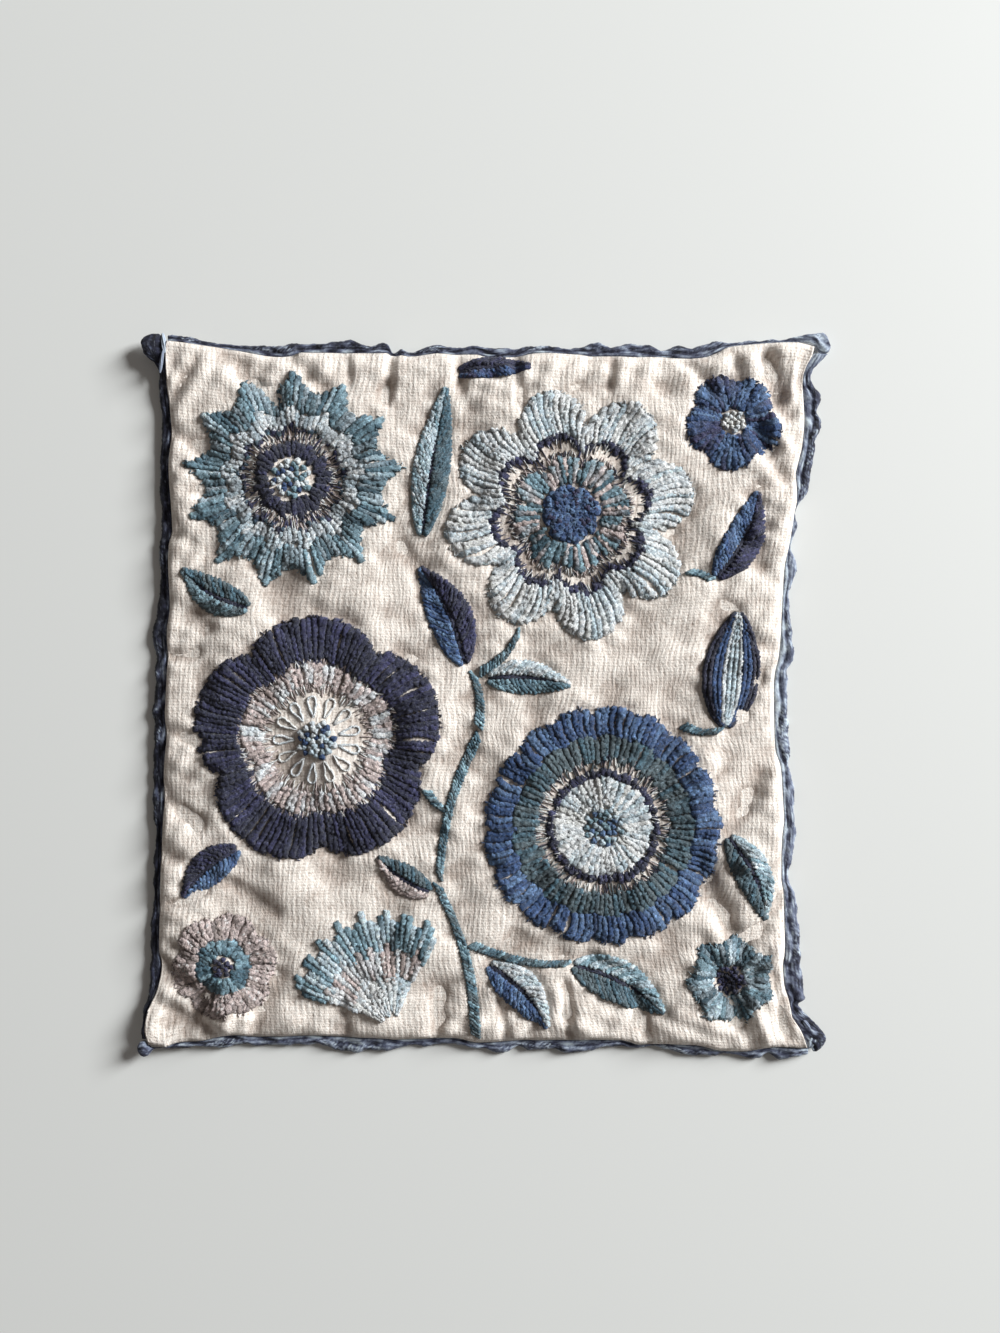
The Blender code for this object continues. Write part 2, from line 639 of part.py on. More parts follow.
def add_mesh(name, points, faces):
    """Adds an object, moved so that the whole cover is centred over the origin."""
    placed = (points - np.array([MIDDLE_X, MIDDLE_Y, 0.0])) * MM
    mesh = bpy.data.meshes.new(name)
    mesh.from_pydata(placed.tolist(), [], faces)
    mesh.polygons.foreach_set("use_smooth", [True] * len(mesh.polygons))
    colour, roughness = LOOKS[name.split("_")[0]]
    material = bpy.data.materials.new(name)
    material.use_nodes = True
    shader = material.node_tree.nodes["Principled BSDF"]
    shader.inputs["Base Color"].default_value = (*colour, 1.0)
    shader.inputs["Roughness"].default_value = roughness
    mesh.materials.append(material)
    mesh.update()
    made = bpy.data.objects.new(name, mesh)
    bpy.context.scene.collection.objects.link(made)


# Colour and roughness of each kind of cloth.
LOOKS = {
    "front": ((0.80, 0.74, 0.66), 0.95),
    "back": ((0.80, 0.74, 0.66), 0.95),
    "edging": ((0.09, 0.10, 0.21), 0.85),
}

# Crinkle of the edging: each row is a wave along a strip, with its length, share and start.
CRINKLES = (
    (23.0, 0.50, 0.4),
    (13.7, 0.32, 2.1),
    (41.0, 0.38, 1.2),
)

# Each strip's side: lean of its outer edge below the seam, and height of the crinkle.
STRIP_DROPS = {
    "edging_left": (1.9, 0.9),
    "edging_right": (1.1, 0.55),
    "edging_top": (1.0, 0.8),
    "edging_bottom": (1.2, 0.8),
}

# Cross-section of a strip: share of its width, share of its thickness, and its soft fold.
SECTION = (
    (0.00, 0.62, 0.10),
    (0.34, 1.00, -0.45),
    (0.72, 1.05, 0.55),
    (1.00, 0.60, 0.00),
)


def strip(name, rows, upright, outward):
    """One edging strip, lofted along its side: a thin crinkled band with a bunched end."""
    places = stations(rows)
    seam = through_rows(rows, 1, places) + PIECE_GAP * outward
    edge = through_rows(rows, 2, places)
    thick = through_rows(rows, 3, places)
    x_seam, y_seam = (seam, places) if upright else (places, seam)
    height = seam_height(x_seam, y_seam) + 0.2
    lean, crinkle = STRIP_DROPS[name]
    wave = np.zeros(len(places))
    for length, share, start in CRINKLES:
        wave += share * np.sin(2.0 * math.pi * places / length + start)
    flat = np.clip((3.2 - thick) / 1.4, 0.0, 1.0)
    upper = []
    lower = []
    for share, fullness, fold in SECTION:
        across = seam + share * (edge - seam)
        middle = height - lean * flat * share + flat * fold
        middle = middle + crinkle * flat * wave * (share - 0.25 * share * share)
        bulge = np.where(flat < 0.5, math.sqrt(1.0 - (1.7 * share - 0.85) ** 2), fullness)
        half = 0.5 * thick * bulge
        middle = np.maximum(middle, half + 0.35)
        x, y = (across, places) if upright else (places, across)
        upper.append(np.stack([x, y, middle + half], axis=1))
        lower.append(np.stack([x, y, middle - half], axis=1))
    ring = upper + lower[::-1]
    sections = np.stack(ring, axis=1)
    count = sections.shape[1]
    points = sections.reshape(-1, 3)
    faces = []
    for k in range(len(places) - 1):
        for j in range(count):
            near = (k * count + j, k * count + (j + 1) % count)
            far = ((k + 1) * count + j, (k + 1) * count + (j + 1) % count)
            faces.append((near[0], far[0], far[1], near[1]))
    faces.append(tuple(range(count)))
    last = (len(places) - 1) * count
    faces.append(tuple(last + j for j in reversed(range(count))))
    if (outward > 0) == upright:
        faces = [face[::-1] for face in faces]
    add_mesh(name, points, faces)


def build_front(loop):
    """The front panel: cream cloth with its rolled rim, folds and raised embroidery."""
    rim = rings_inside(loop, FRONT_RINGS)
    outlines = motif_outlines()
    feet = [spaced(outline, RING_PITCH) for outline in outlines]
    crowns = [moved_in(foot, SHOULDER) for foot in feet]
    rings = np.concatenate(feet + crowns)
    grid = lattice(FRONT_PITCH)
    grid = grid[inside(loop, grid)]
    distance, _ = to_seam(loop, grid[:, 0], grid[:, 1])
    grid = grid[distance > FRONT_CLEARANCE]
    grid = grid[far_from(grid, rings, RING_CLEARANCE)]
    points, faces = triangles(loop, np.concatenate([rim, rings, grid]))
    distance, seam = to_seam(loop, points[:, 0], points[:, 1])
    top = front_ground(points[:, 0], points[:, 1], distance, seam)
    raised = np.zeros(len(points), bool)
    for outline in outlines:
        raised |= inside(moved_in(spaced(outline, RING_PITCH), 0.5 * SHOULDER), points)
    top = top + YARN_RISE * raised
    upper = (np.column_stack([points, top]), faces)
    hidden = lattice(HIDDEN_PITCH)
    hidden = hidden[inside(loop, hidden)]
    distance, _ = to_seam(loop, hidden[:, 0], hidden[:, 1])
    hidden = hidden[distance > HIDDEN_CLEARANCE]
    rim = rings_inside(loop, UNDER_RINGS)
    points, faces = triangles(loop, np.concatenate([rim, hidden]))
    distance, seam = to_seam(loop, points[:, 0], points[:, 1])
    under = front_under(points[:, 0], points[:, 1], distance, seam)
    sheet("front_panel", len(loop), upper, (np.column_stack([points, under]), faces))


def build_back(loop):
    """The back panel: plain cloth, level on the table, with its rim drawn up to the seam."""
    rim = rings_inside(loop, BACK_RINGS)
    grid = lattice(BACK_PITCH)
    grid = grid[inside(loop, grid)]
    distance, _ = to_seam(loop, grid[:, 0], grid[:, 1])
    grid = grid[distance > BACK_CLEARANCE]
    points, faces = triangles(loop, np.concatenate([rim, grid]))
    distance, seam = to_seam(loop, points[:, 0], points[:, 1])
    top = back_top(distance, seam) - SEAM_HALF_GAP * np.exp(-distance / 6.0)
    upper = (np.column_stack([points, top]), faces)
    lower = (np.column_stack([points, top - BACK_THICK * np.ones(len(top))]), faces)
    level = lower[0][:, 2]
    lower[0][:, 2] = np.where(level < 0.06, 0.0, level)
    sheet("back_panel", len(loop), upper, lower)


for item in list(bpy.data.objects):
    bpy.data.objects.remove(item, do_unlink=True)

outline = seam_loop()
build_front(outline)
build_back(outline)
strip("edging_top", TOP_ROWS, False, 1.0)
strip("edging_right", RIGHT_ROWS, True, 1.0)
strip("edging_bottom", BOTTOM_ROWS, False, -1.0)
strip("edging_left", LEFT_ROWS, True, -1.0)
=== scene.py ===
import math

import bpy
import numpy as np
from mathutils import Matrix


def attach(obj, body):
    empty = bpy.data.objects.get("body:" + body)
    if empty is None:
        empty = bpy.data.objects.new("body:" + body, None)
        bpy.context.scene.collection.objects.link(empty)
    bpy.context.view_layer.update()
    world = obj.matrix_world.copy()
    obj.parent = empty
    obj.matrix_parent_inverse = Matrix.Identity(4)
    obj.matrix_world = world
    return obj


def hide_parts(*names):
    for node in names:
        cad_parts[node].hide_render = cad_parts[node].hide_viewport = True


# An embroidered cushion cover, empty and lying on its back on a table.
# Lengths are millimetres until a mesh is written, and then they are metres.
# X runs to the right, Y towards the top edge and Z up from the table.
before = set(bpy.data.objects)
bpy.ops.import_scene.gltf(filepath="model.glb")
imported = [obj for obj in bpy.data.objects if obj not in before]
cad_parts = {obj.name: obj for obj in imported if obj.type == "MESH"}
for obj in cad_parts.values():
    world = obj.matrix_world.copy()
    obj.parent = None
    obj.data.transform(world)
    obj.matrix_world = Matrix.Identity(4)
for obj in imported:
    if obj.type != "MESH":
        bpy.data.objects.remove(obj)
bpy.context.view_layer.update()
MM = 0.001

# The table, the light and the camera.
# The cover lies on a smooth pale table top, seen from straight above.
# Soft daylight comes low from the right, so every stitch has a shaded left side.
TABLE_REACH = 3.0
TABLE_COLOUR = (0.79, 0.795, 0.775, 1.0)
TABLE_ROUGHNESS = 0.7
WINDOW_PLACE = (5.2, 2.6, 2.75)
WINDOW_SIZE = (2.6, 2.1)
WINDOW_POWER = 788.0
WINDOW_COLOUR = (0.975, 1.0, 1.01)
SKY_COLOUR = (1.0, 0.93, 0.88, 1.0)
SKY_STRENGTH = 0.13
CAMERA_PLACE = (0.0111, 0.0218, 0.85)
VIEW_HEIGHT = 0.9558
CLOTH_LEVEL = 0.008
SENSOR = 36.0

table = bpy.data.meshes.new("table")
signs = ((-1, -1), (1, -1), (1, 1), (-1, 1))
table.from_pydata([(TABLE_REACH * a, TABLE_REACH * b, 0.0) for a, b in signs], [], [(0, 1, 2, 3)])
paint = bpy.data.materials.new("table_top")
paint.use_nodes = True
surface = paint.node_tree.nodes["Principled BSDF"].inputs
surface["Base Color"].default_value = TABLE_COLOUR
surface["Roughness"].default_value = TABLE_ROUGHNESS
table.materials.append(paint)
table_top = bpy.data.objects.new("table_top", table)
bpy.context.scene.collection.objects.link(table_top)

world = bpy.data.worlds.new("daylight")
world.use_nodes = True
sky = world.node_tree.nodes["Background"].inputs
sky["Color"].default_value = SKY_COLOUR
sky["Strength"].default_value = SKY_STRENGTH
bpy.context.scene.world = world

window = bpy.data.lights.new("window", "AREA")
window.shape = "RECTANGLE"
window.size, window.size_y = WINDOW_SIZE
window.energy = WINDOW_POWER
window.color = WINDOW_COLOUR
window_light = bpy.data.objects.new("window", window)
window_light.location = WINDOW_PLACE
down = math.atan2(math.hypot(*WINDOW_PLACE[:2]), WINDOW_PLACE[2])
window_light.rotation_euler = (0.0, down, math.atan2(WINDOW_PLACE[1], WINDOW_PLACE[0]))
bpy.context.scene.collection.objects.link(window_light)

lens = bpy.data.cameras.new("camera")
lens.sensor_fit = "VERTICAL"
lens.sensor_height = SENSOR
lens.lens = SENSOR * (CAMERA_PLACE[2] - CLOTH_LEVEL) / VIEW_HEIGHT
camera = bpy.data.objects.new("camera", lens)
camera.location = CAMERA_PLACE
bpy.context.scene.collection.objects.link(camera)
bpy.context.scene.camera = camera
bpy.context.scene.view_settings.view_transform = "Standard"

# The front cloth.
# One panel of coarse cream cotton with a raised rib that runs from top to bottom.
# It is sewn to the back cloth round its rim, so it rolls down there and puckers.
MIDDLE_X = 0.35
MIDDLE_Y = 0.4
FRONT_THICK = 2.0
BACK_THICK = 1.4
SEAM_HALF_GAP = 0.15
FRONT_HEIGHT = 12.6
ROLL_WIDTH = 14.0
BACK_ROLL_WIDTH = 15.0
BACK_ROLL_MORE = 4.0
BACK_ROLL_FROM = 3.0
CORNER_SINK = 2.6
CORNER_REACH = 42.0
LEAST_RISE = 0.2
LEAST_GAP = 0.7
HALF_WIDE = 230.0
HALF_HIGH = 250.0

# Height of the seam at the left, right, top and bottom, and how sharply one gives way to the next.
SEAM_LEVELS = (4.8, 2.9, 3.5, 3.8)
SIDE_SHARPNESS = 10

# The seam's gentle rise and fall: turn for each mm in X and in Y, height and start.
SEAM_WAVES = (
    (0.104, -0.062, 0.45, 0.0), (0.239, -0.143, 0.30, 1.0),
)

# Corners of the front in plan: x, y, lift of the corner, radius of the lift.
CORNERS = {
    "top_left": (-227.3, 254.2, 5.0, 46.0),
    "top_right": (236.4, 251.0, 3.4, 34.0),
    "bottom_right": (231.6, -251.2, 2.4, 34.0),
    "bottom_left": (-239.6, -247.8, 4.6, 46.0),
}

# Each side as sewn: place along it, seam, outer edge of the edging, and its thickness.
LEFT_ROWS = (
    (260.2, -232.3, -238.0, 3.5), (257.8, -230.2, -241.9, 7), (252.7, -229.7, -244.5, 9),
    (247.7, -229.9, -244.1, 9), (243.4, -229.0, -241.2, 7), (239.8, -227.9, -236.3, 4),
    (231.2, -227.3, -233.2, 2.2), (224.8, -227.1, -234.2, 1.8), (202.6, -224.7, -231.9, 1.6),
    (190.4, -224.1, -232.3, 1.6), (166.7, -226.4, -233.7, 1.6), (119.4, -223.7, -232.6, 1.6),
    (109.3, -225.9, -233.7, 1.6), (95.0, -226.4, -233.2, 1.6), (64.9, -225.5, -235.2, 1.6),
    (44.8, -227.7, -238.8, 2.2), (30.5, -227.1, -236.9, 1.6), (-1.8, -228.3, -237.2, 1.6),
    (-12.5, -228.9, -238.8, 2), (-26.9, -227.7, -237.8, 1.6), (-55.6, -229.9, -238.5, 2),
    (-73.5, -229.2, -238.8, 2), (-95.0, -230.5, -236.9, 1.6), (-181.0, -233.1, -240.4, 1.8),
    (-191.8, -231.2, -240.7, 1.8), (-206.1, -233.1, -240.7, 1.8), (-216.9, -237.2, -241.6, 1.5),
    (-224.1, -240.4, -244.1, 1.5), (-238.4, -242.3, -246.0, 1.5), (-244.4, -242.0, -245.4, 1.3),
)
RIGHT_ROWS = (
    (246.5, 236.2, 245.8, 3.4), (240.6, 232.6, 241.6, 3.4), (234.8, 230.0, 236.5, 3),
    (230.5, 228.9, 235.5, 2.4), (224.1, 228.7, 237.8, 1.8), (218.3, 229.2, 242.3, 1.6),
    (206.1, 229.9, 240.9, 1.6), (199.7, 230.2, 242.8, 1.6), (181.0, 228.7, 239.2, 1.6),
    (159.5, 223.7, 235.5, 1.6), (152.4, 224.4, 234.2, 1.6), (141.6, 224.7, 228.6, 1.6),
    (132.3, 223.0, 224.7, 1.5), (123.7, 221.8, 225.3, 1.5), (107.9, 219.0, 222.1, 1.5),
    (92.9, 215.8, 225.5, 1.6), (73.5, 214.7, 219.8, 1.6), (34.1, 212.2, 223.2, 1.6),
    (26.9, 211.3, 222.7, 1.6), (18.3, 209.0, 218.7, 1.6), (5.4, 208.1, 218.4, 1.6),
    (-37.6, 209.4, 220.5, 1.6), (-48.4, 212.7, 220.0, 1.6), (-59.2, 214.0, 221.8, 1.6),
    (-73.5, 214.7, 224.1, 1.6), (-87.8, 215.4, 223.7, 1.6), (-98.6, 214.3, 225.3, 1.6),
    (-130.9, 213.6, 219.4, 1.6), (-141.6, 215.4, 224.4, 1.6), (-184.6, 215.8, 228.0, 1.6),
    (-191.8, 214.7, 228.0, 1.6), (-206.1, 215.6, 230.5, 1.6), (-217.6, 219.0, 231.3, 1.8),
    (-221.2, 219.8, 225.9, 1.8), (-226.2, 220.1, 230.6, 2.2), (-238.4, 226.9, 241.9, 4.5),
    (-245.6, 230.4, 244.9, 5.5), (-250.6, 234.5, 242.6, 4.5), (-254.2, 236.3, 239.1, 2.5),
)
TOP_ROWS = (
    (-226.4, 255.0, 259.9, 1.6), (-180.7, 249.5, 254.3, 1.6), (-146.3, 244.4, 253.0, 1.6),
    (-139.1, 244.9, 255.2, 1.8), (-131.9, 247.7, 254.5, 1.6), (-98.2, 247.3, 257.4, 2),
    (-81.7, 247.0, 253.0, 1.6), (-74.6, 247.3, 255.4, 2), (-69.5, 247.0, 254.5, 2),
    (-65.6, 244.7, 248.2, 1.6), (-59.5, 245.6, 250.8, 1.6), (-54.5, 244.9, 248.9, 1.6),
    (-33.0, 247.0, 254.3, 1.8), (-19.4, 246.1, 251.9, 1.6), (-6.5, 246.1, 253.2, 1.6),
    (4.3, 244.1, 252.5, 1.6), (20.8, 244.4, 250.9, 1.6), (36.6, 247.0, 253.5, 1.6),
    (47.3, 247.3, 253.2, 1.6), (68.8, 246.1, 251.6, 1.6), (76.0, 244.9, 254.8, 2),
    (83.2, 245.0, 255.2, 2.2), (91.8, 244.9, 252.2, 1.6), (108.3, 244.4, 254.8, 1.8),
    (119.0, 244.5, 254.3, 1.8), (129.8, 244.3, 250.4, 1.6), (140.5, 243.6, 253.6, 1.8),
    (149.9, 243.2, 251.3, 1.6), (158.5, 244.1, 253.6, 1.8), (165.6, 246.6, 256.5, 1.8),
    (176.4, 251.7, 255.9, 1.6), (201.5, 254.3, 257.8, 1.5), (215.8, 254.6, 257.3, 1.5),
    (226.6, 254.2, 259.3, 2), (237.3, 252.3, 261.2, 6), (240.9, 248.1, 261.2, 7.5),
    (244.5, 247.0, 260.2, 7.5), (247.4, 247.9, 257.2, 5), (248.9, 251.0, 254.0, 3),
)
BOTTOM_ROWS = (
    (-247.8, -248.9, -252.5, 3), (-245.9, -246.3, -255.0, 4.5), (-243.1, -245.7, -256.3, 6),
    (-240.2, -248.4, -255.9, 5), (-238.3, -250.4, -253.7, 2.6), (-235.9, -250.6, -252.0, 1.5),
    (-228.7, -250.2, -251.5, 1.5), (-219.4, -246.9, -251.5, 1.6), (-203.6, -246.1, -251.3, 1.6),
    (-186.4, -242.8, -252.7, 1.8), (-178.5, -242.3, -250.0, 1.6), (-162.8, -243.7, -251.1, 1.6),
    (-121.2, -242.5, -250.0, 1.6), (-103.2, -243.7, -255.3, 1.8), (-92.5, -244.1, -255.8, 1.8),
    (-83.9, -244.5, -253.8, 1.6), (-71.0, -244.9, -254.8, 1.6), (-63.8, -245.4, -253.0, 1.6),
    (-20.8, -244.5, -249.9, 1.6), (-2.9, -247.7, -253.8, 1.6), (15.1, -247.0, -256.0, 1.8),
    (25.8, -246.1, -252.2, 1.6), (33.0, -245.9, -254.4, 1.6), (50.9, -245.8, -253.2, 1.6),
    (61.7, -246.1, -256.6, 1.8), (98.9, -245.9, -251.5, 1.6), (111.9, -249.2, -251.7, 1.5),
    (119.0, -248.9, -251.7, 1.5), (151.3, -249.8, -258.3, 1.8), (172.8, -253.7, -256.9, 1.6),
    (187.1, -254.2, -259.2, 1.6), (197.9, -252.7, -260.3, 1.8), (203.6, -251.5, -257.0, 1.6),
    (212.2, -250.6, -260.4, 2), (232.7, -253.0, -256.8, 1.4),
)

# Folds of the front: both ends, half width and depth, where a ridge is negative.
FOLDS = (
    (-186.0, 246.0, -150.0, 212.0, 6.5, 2.6), (-226.0, 192.0, -203.0, 181.0, 5.5, 2.8),
    (-224.0, 216.0, -208.0, 240.0, 4.5, 1.8), (-218.0, 206.0, -200.0, 230.0, 5.0, -1.2),
    (204.0, 240.0, 211.0, 214.0, 7.0, 4.2), (222.0, 238.0, 221.0, 216.0, 3.5, -1.6),
    (228.0, 226.0, 205.0, 214.0, 5.0, 2.6), (196.0, 190.0, 214.0, 158.0, 6.5, 3.2),
    (206.0, 196.0, 222.0, 172.0, 4.5, -1.4), (182.0, 118.0, 206.0, 84.0, 6.0, 1.6),
    (205.0, 30.0, 184.0, -14.0, 7.0, 1.5), (206.0, -40.0, 180.0, -84.0, 7.0, 2.2),
    (212.0, -92.0, 190.0, -120.0, 6.0, -1.3), (158.0, -128.0, 176.0, -166.0, 8.0, 2.8),
    (212.0, -148.0, 186.0, -176.0, 6.5, 2.8), (216.0, -176.0, 196.0, -202.0, 5.0, -1.5),
    (190.0, -246.0, 158.0, -178.0, 6.0, 2.6), (219.0, -246.0, 206.0, -196.0, 5.0, 2.2),
    (204.0, -248.0, 188.0, -204.0, 4.5, -1.4), (118.0, -246.0, 106.0, -208.0, 5.5, 2.4),
    (56.0, -184.0, 92.0, -192.0, 8.0, 2.4), (62.0, -246.0, 58.0, -206.0, 4.5, 2.4),
    (16.0, -246.0, 12.0, -218.0, 4.0, 1.7), (-34.0, -244.0, -32.0, -214.0, 4.5, 1.8),
    (-98.0, -243.0, -100.0, -218.0, 4.5, 1.5), (-166.0, -243.0, -160.0, -212.0, 5.0, 2.0),
    (-184.0, -241.0, -180.0, -216.0, 4.0, -1.2), (-233.0, -190.0, -202.0, -214.0, 7.0, 3.6),
    (-236.0, -216.0, -200.0, -236.0, 5.0, 1.7), (-238.0, -232.0, -206.0, -208.0, 4.5, -1.4),
    (-212.0, -240.0, -192.0, -206.0, 5.0, 1.6), (-231.0, -152.0, -206.0, -140.0, 5.0, 2.2),
    (-231.0, -112.0, -212.0, -118.0, 4.5, 1.8), (-229.0, -70.0, -206.0, -88.0, 5.0, 2.6),
    (-228.0, -24.0, -205.0, -30.0, 5.0, 2.0), (-227.0, 30.0, -207.0, 32.0, 4.0, 2.2),
    (-226.0, 68.0, -205.0, 60.0, 4.5, 1.9), (-225.0, 118.0, -210.0, 112.0, 4.0, 1.6),
    (-225.0, 144.0, -206.0, 150.0, 4.5, 1.6), (-140.0, 245.0, -118.0, 224.0, 6.0, 2.2),
    (-98.0, 246.0, -96.0, 226.0, 3.5, 1.4), (-66.0, 244.0, -70.0, 214.0, 4.5, 2.4),
    (-20.0, 245.0, -16.0, 220.0, 4.5, 1.8), (22.0, 243.0, 26.0, 214.0, 4.5, 2.2),
    (92.0, 243.0, 90.0, 222.0, 4.0, 1.8), (142.0, 243.0, 160.0, 222.0, 5.0, 2.2),
    (176.0, 248.0, 186.0, 226.0, 4.5, 1.5), (-62.0, 118.0, -34.0, 60.0, 7.0, 1.8),
    (20.0, -168.0, -2.0, -208.0, 7.0, 1.5), (-178.0, -136.0, -150.0, -152.0, 6.0, 1.8),
)

# Broad swells of the front: middle, reach in X, reach in Y and rise.
SWELLS = (
    (-136.0, 150.0, 62.0, 60.0, 1.5), (62.0, 128.0, 74.0, 66.0, 1.2),
    (-116.0, -28.0, 70.0, 66.0, 1.8), (84.0, -88.0, 70.0, 64.0, 1.5),
    (178.0, 110.0, 30.0, 70.0, -1.0), (-30.0, -205.0, 90.0, 34.0, -1.1),
    (0.0, 20.0, 26.0, 60.0, -0.8), (-205.0, -190.0, 30.0, 40.0, 0.8),
)

# Uneven relief of the whole front: wave length, rise and a number that sets its places.
CRUMPLES = (
    (85.0, 1.1, 3), (44.0, 0.95, 4), (25.0, 0.40, 7),
)

# How much deeper the folds are than in the solid, and how far they run out past their ends.
FOLD_MORE = 0.85
FOLD_END = 1.3

# Puckers beside the seam and round the stitches: rise, wave length and reach.
SEAM_PUCKERS = (1.5, 19.0, 24.0)
STITCH_PUCKERS = (0.65, 16.0, 15.0)

# Depth and reach of the pull of the stitches, reach of the seam's hold, and the cloth's least
# height over the back cloth. The rim's short bends fade inwards at BEND_FADE.
STITCH_PULL = 0.8
STITCH_REACH = 3.6
SEAM_HOLD = 5.0
CLEARANCE = 0.4
BEND_FADE = 34.0

# Flowers: middle x and y, radius, petals, notch depth, petal shape and turn.
FLOWERS = (
    (-137.0, 156.0, 79.0, 13, 0.20, "pointed", 6.0),
    (62.0, 131.0, 90.0, 8, 0.36, "round", 11.0),
    (-119.0, -30.0, 89.0, 5, 0.19, "round", 20.0),
    (85.0, -92.0, 85.0, 17, 0.07, "round", 0.0),
    (178.0, 197.0, 35.0, 5, 0.26, "round", 50.0),
    (-186.0, -192.0, 38.0, 6, 0.20, "round", 12.0),
    (176.0, -202.0, 33.0, 7, 0.18, "pointed", 30.0),
)

# Leaves: base x and y, tip x and y, width and sideways bow.
LEAVES = (
    (-44.0, 116.0, -27.0, 222.0, 25.0, 1.0), (-14.0, 24.0, -46.0, 94.0, 32.0, -5.0),
    (3.0, 14.0, 62.0, 9.0, 24.0, 3.0), (-168.0, 64.0, -216.0, 92.0, 25.0, 5.0),
    (166.0, 86.0, 196.0, 148.0, 28.0, -6.0), (175.0, -100.0, 202.0, -160.0, 26.0, 5.0),
    (4.0, -192.0, 46.0, -236.0, 28.0, 5.0), (64.0, -191.0, 130.0, -226.0, 31.0, 5.0),
    (-176.0, -108.0, -216.0, -144.0, 25.0, -4.0), (-39.0, -139.0, -76.0, -113.0, 22.0, 3.0),
    (-18.0, 233.0, 34.0, 236.0, 15.0, 2.0),
)

# Stems: both ends, width and sideways bow.
STEMS = (
    (-6.0, -242.0, -33.0, -134.0, 6.8, -7.0), (-32.0, -128.0, -4.0, -27.0, 6.8, 6.0),
    (-4.0, -21.0, -8.0, 17.0, 6.4, -3.0), (-3.0, 18.0, 25.0, 47.0, 6.0, -4.0),
    (-25.0, -82.0, -41.0, -66.0, 5.6, 2.0), (-9.0, -176.0, 60.0, -190.0, 5.6, -5.0),
    (142.0, -20.0, 169.0, -23.0, 5.6, -3.0), (146.0, 90.0, 163.0, 84.0, 5.6, 1.0),
)

# The fan-shaped flower: middle x and y, radius, half angle, heading and teeth.
FAN = (-64.0, -234.0, 86.0, 48.0, 113.0, 8)

# The bud: base x and y, tip x and y, and width.
BUD = (172.0, -22.0, 182.0, 62.0, 42.0)

# Step along the seam, and share of a side over which its short bends are smoothed.
SEAM_STEP = 2.0
SOFT_SHARE = 0.07


def through_rows(rows, column, places):
    """A smooth curve through the rows' values, with slopes held so that it doesn't overshoot."""
    table = np.array([[float(value) for value in row] for row in rows])
    table = table[np.argsort(table[:, 0])]
    at = table[:, 0]
    value = table[:, column]
    slope = np.diff(value) / np.diff(at)
    tangent = np.zeros(len(at))
    same = slope[1:] * slope[:-1] > 0
    mean = 2.0 * slope[1:] * slope[:-1] / np.where(same, slope[1:] + slope[:-1], 1.0)
    tangent[1:-1] = np.where(same, mean, 0.0)
    tangent[0] = slope[0]
    tangent[-1] = slope[-1]
    places = np.clip(np.asarray(places, float), at[0], at[-1])
    k = np.clip(np.searchsorted(at, places, side="right") - 1, 0, len(at) - 2)
    run = at[k + 1] - at[k]
    t = (places - at[k]) / run
    near = (2 * t**3 - 3 * t**2 + 1) * value[k] + (t**3 - 2 * t**2 + t) * run * tangent[k]
    far = (3 * t**2 - 2 * t**3) * value[k + 1] + (t**3 - t**2) * run * tangent[k + 1]
    return near + far


def seam_height(x, y):
    """Height of the seam over the table, lower on the right and lifted at the corners."""
    across, along = x / HALF_WIDE, y / HALF_HIGH
    shares = [np.clip(side, 0.0, None) ** SIDE_SHARPNESS for side in (-across, across, along, -along)]
    height = sum(level * share for level, share in zip(SEAM_LEVELS, shares)) / (sum(shares) + 1e-9)
    for corner_x, corner_y, lift, reach in CORNERS.values():
        square = (x - corner_x) ** 2 + (y - corner_y) ** 2
        height = height + lift * np.exp(-square / (0.5 * reach * reach))
    for rate_x, rate_y, rise, start in SEAM_WAVES:
        height = height + rise * np.sin(rate_x * x + rate_y * y + start)
    return height


def to_seam(loop, x, y):
    """Distance from each point to the seam, and the seam's height where it is nearest."""
    points = np.stack([x, y], axis=1)
    ends = np.roll(loop, -1, axis=0)
    best = np.full(len(x), 1e9)
    height = np.zeros(len(x))
    for start, end in zip(loop, ends):
        run = end - start
        t = np.clip(((points - start) @ run) / (run @ run), 0.0, 1.0)
        foot = start + t[:, None] * run
        distance = np.hypot(points[:, 0] - foot[:, 0], points[:, 1] - foot[:, 1])
        nearer = distance < best
        best = np.where(nearer, distance, best)
        height = np.where(nearer, seam_height(foot[:, 0], foot[:, 1]), height)
    return best, height


def roll(distance, width):
    """Quarter of an ellipse: 0 at the seam, rising steeply and level from the width on."""
    inside = 1.0 - np.clip(distance / width, 0.0, 1.0)
    return np.sqrt(1.0 - inside * inside)


def fold_depth(x, y):
    """Sum of the folds. Each is a soft trough along its line, fading at both ends."""
    depth = np.zeros(len(x))
    for x0, y0, x1, y1, half, deep in FOLDS:
        run_x = x1 - x0
        run_y = y1 - y0
        length = math.hypot(run_x, run_y)
        along = ((x - x0) * run_x + (y - y0) * run_y) / length
        off = ((y - y0) * run_x - (x - x0) * run_y) / length
        over = np.clip(along - length, 0.0, None) + np.clip(-along, 0.0, None)
        depth += deep * np.exp(-((off / half) ** 2) - (over / (FOLD_END * half)) ** 2)
    return depth


def back_top(distance, seam):
    """Top of the back panel: level over the table and rising to the seam."""
    width = BACK_ROLL_WIDTH + BACK_ROLL_MORE * np.clip(seam - BACK_ROLL_FROM, 0.0, None)
    inside = 1.0 - np.clip(distance / width, 0.0, 1.0)
    return BACK_THICK + np.clip(seam - BACK_THICK, 0.0, None) * inside * inside


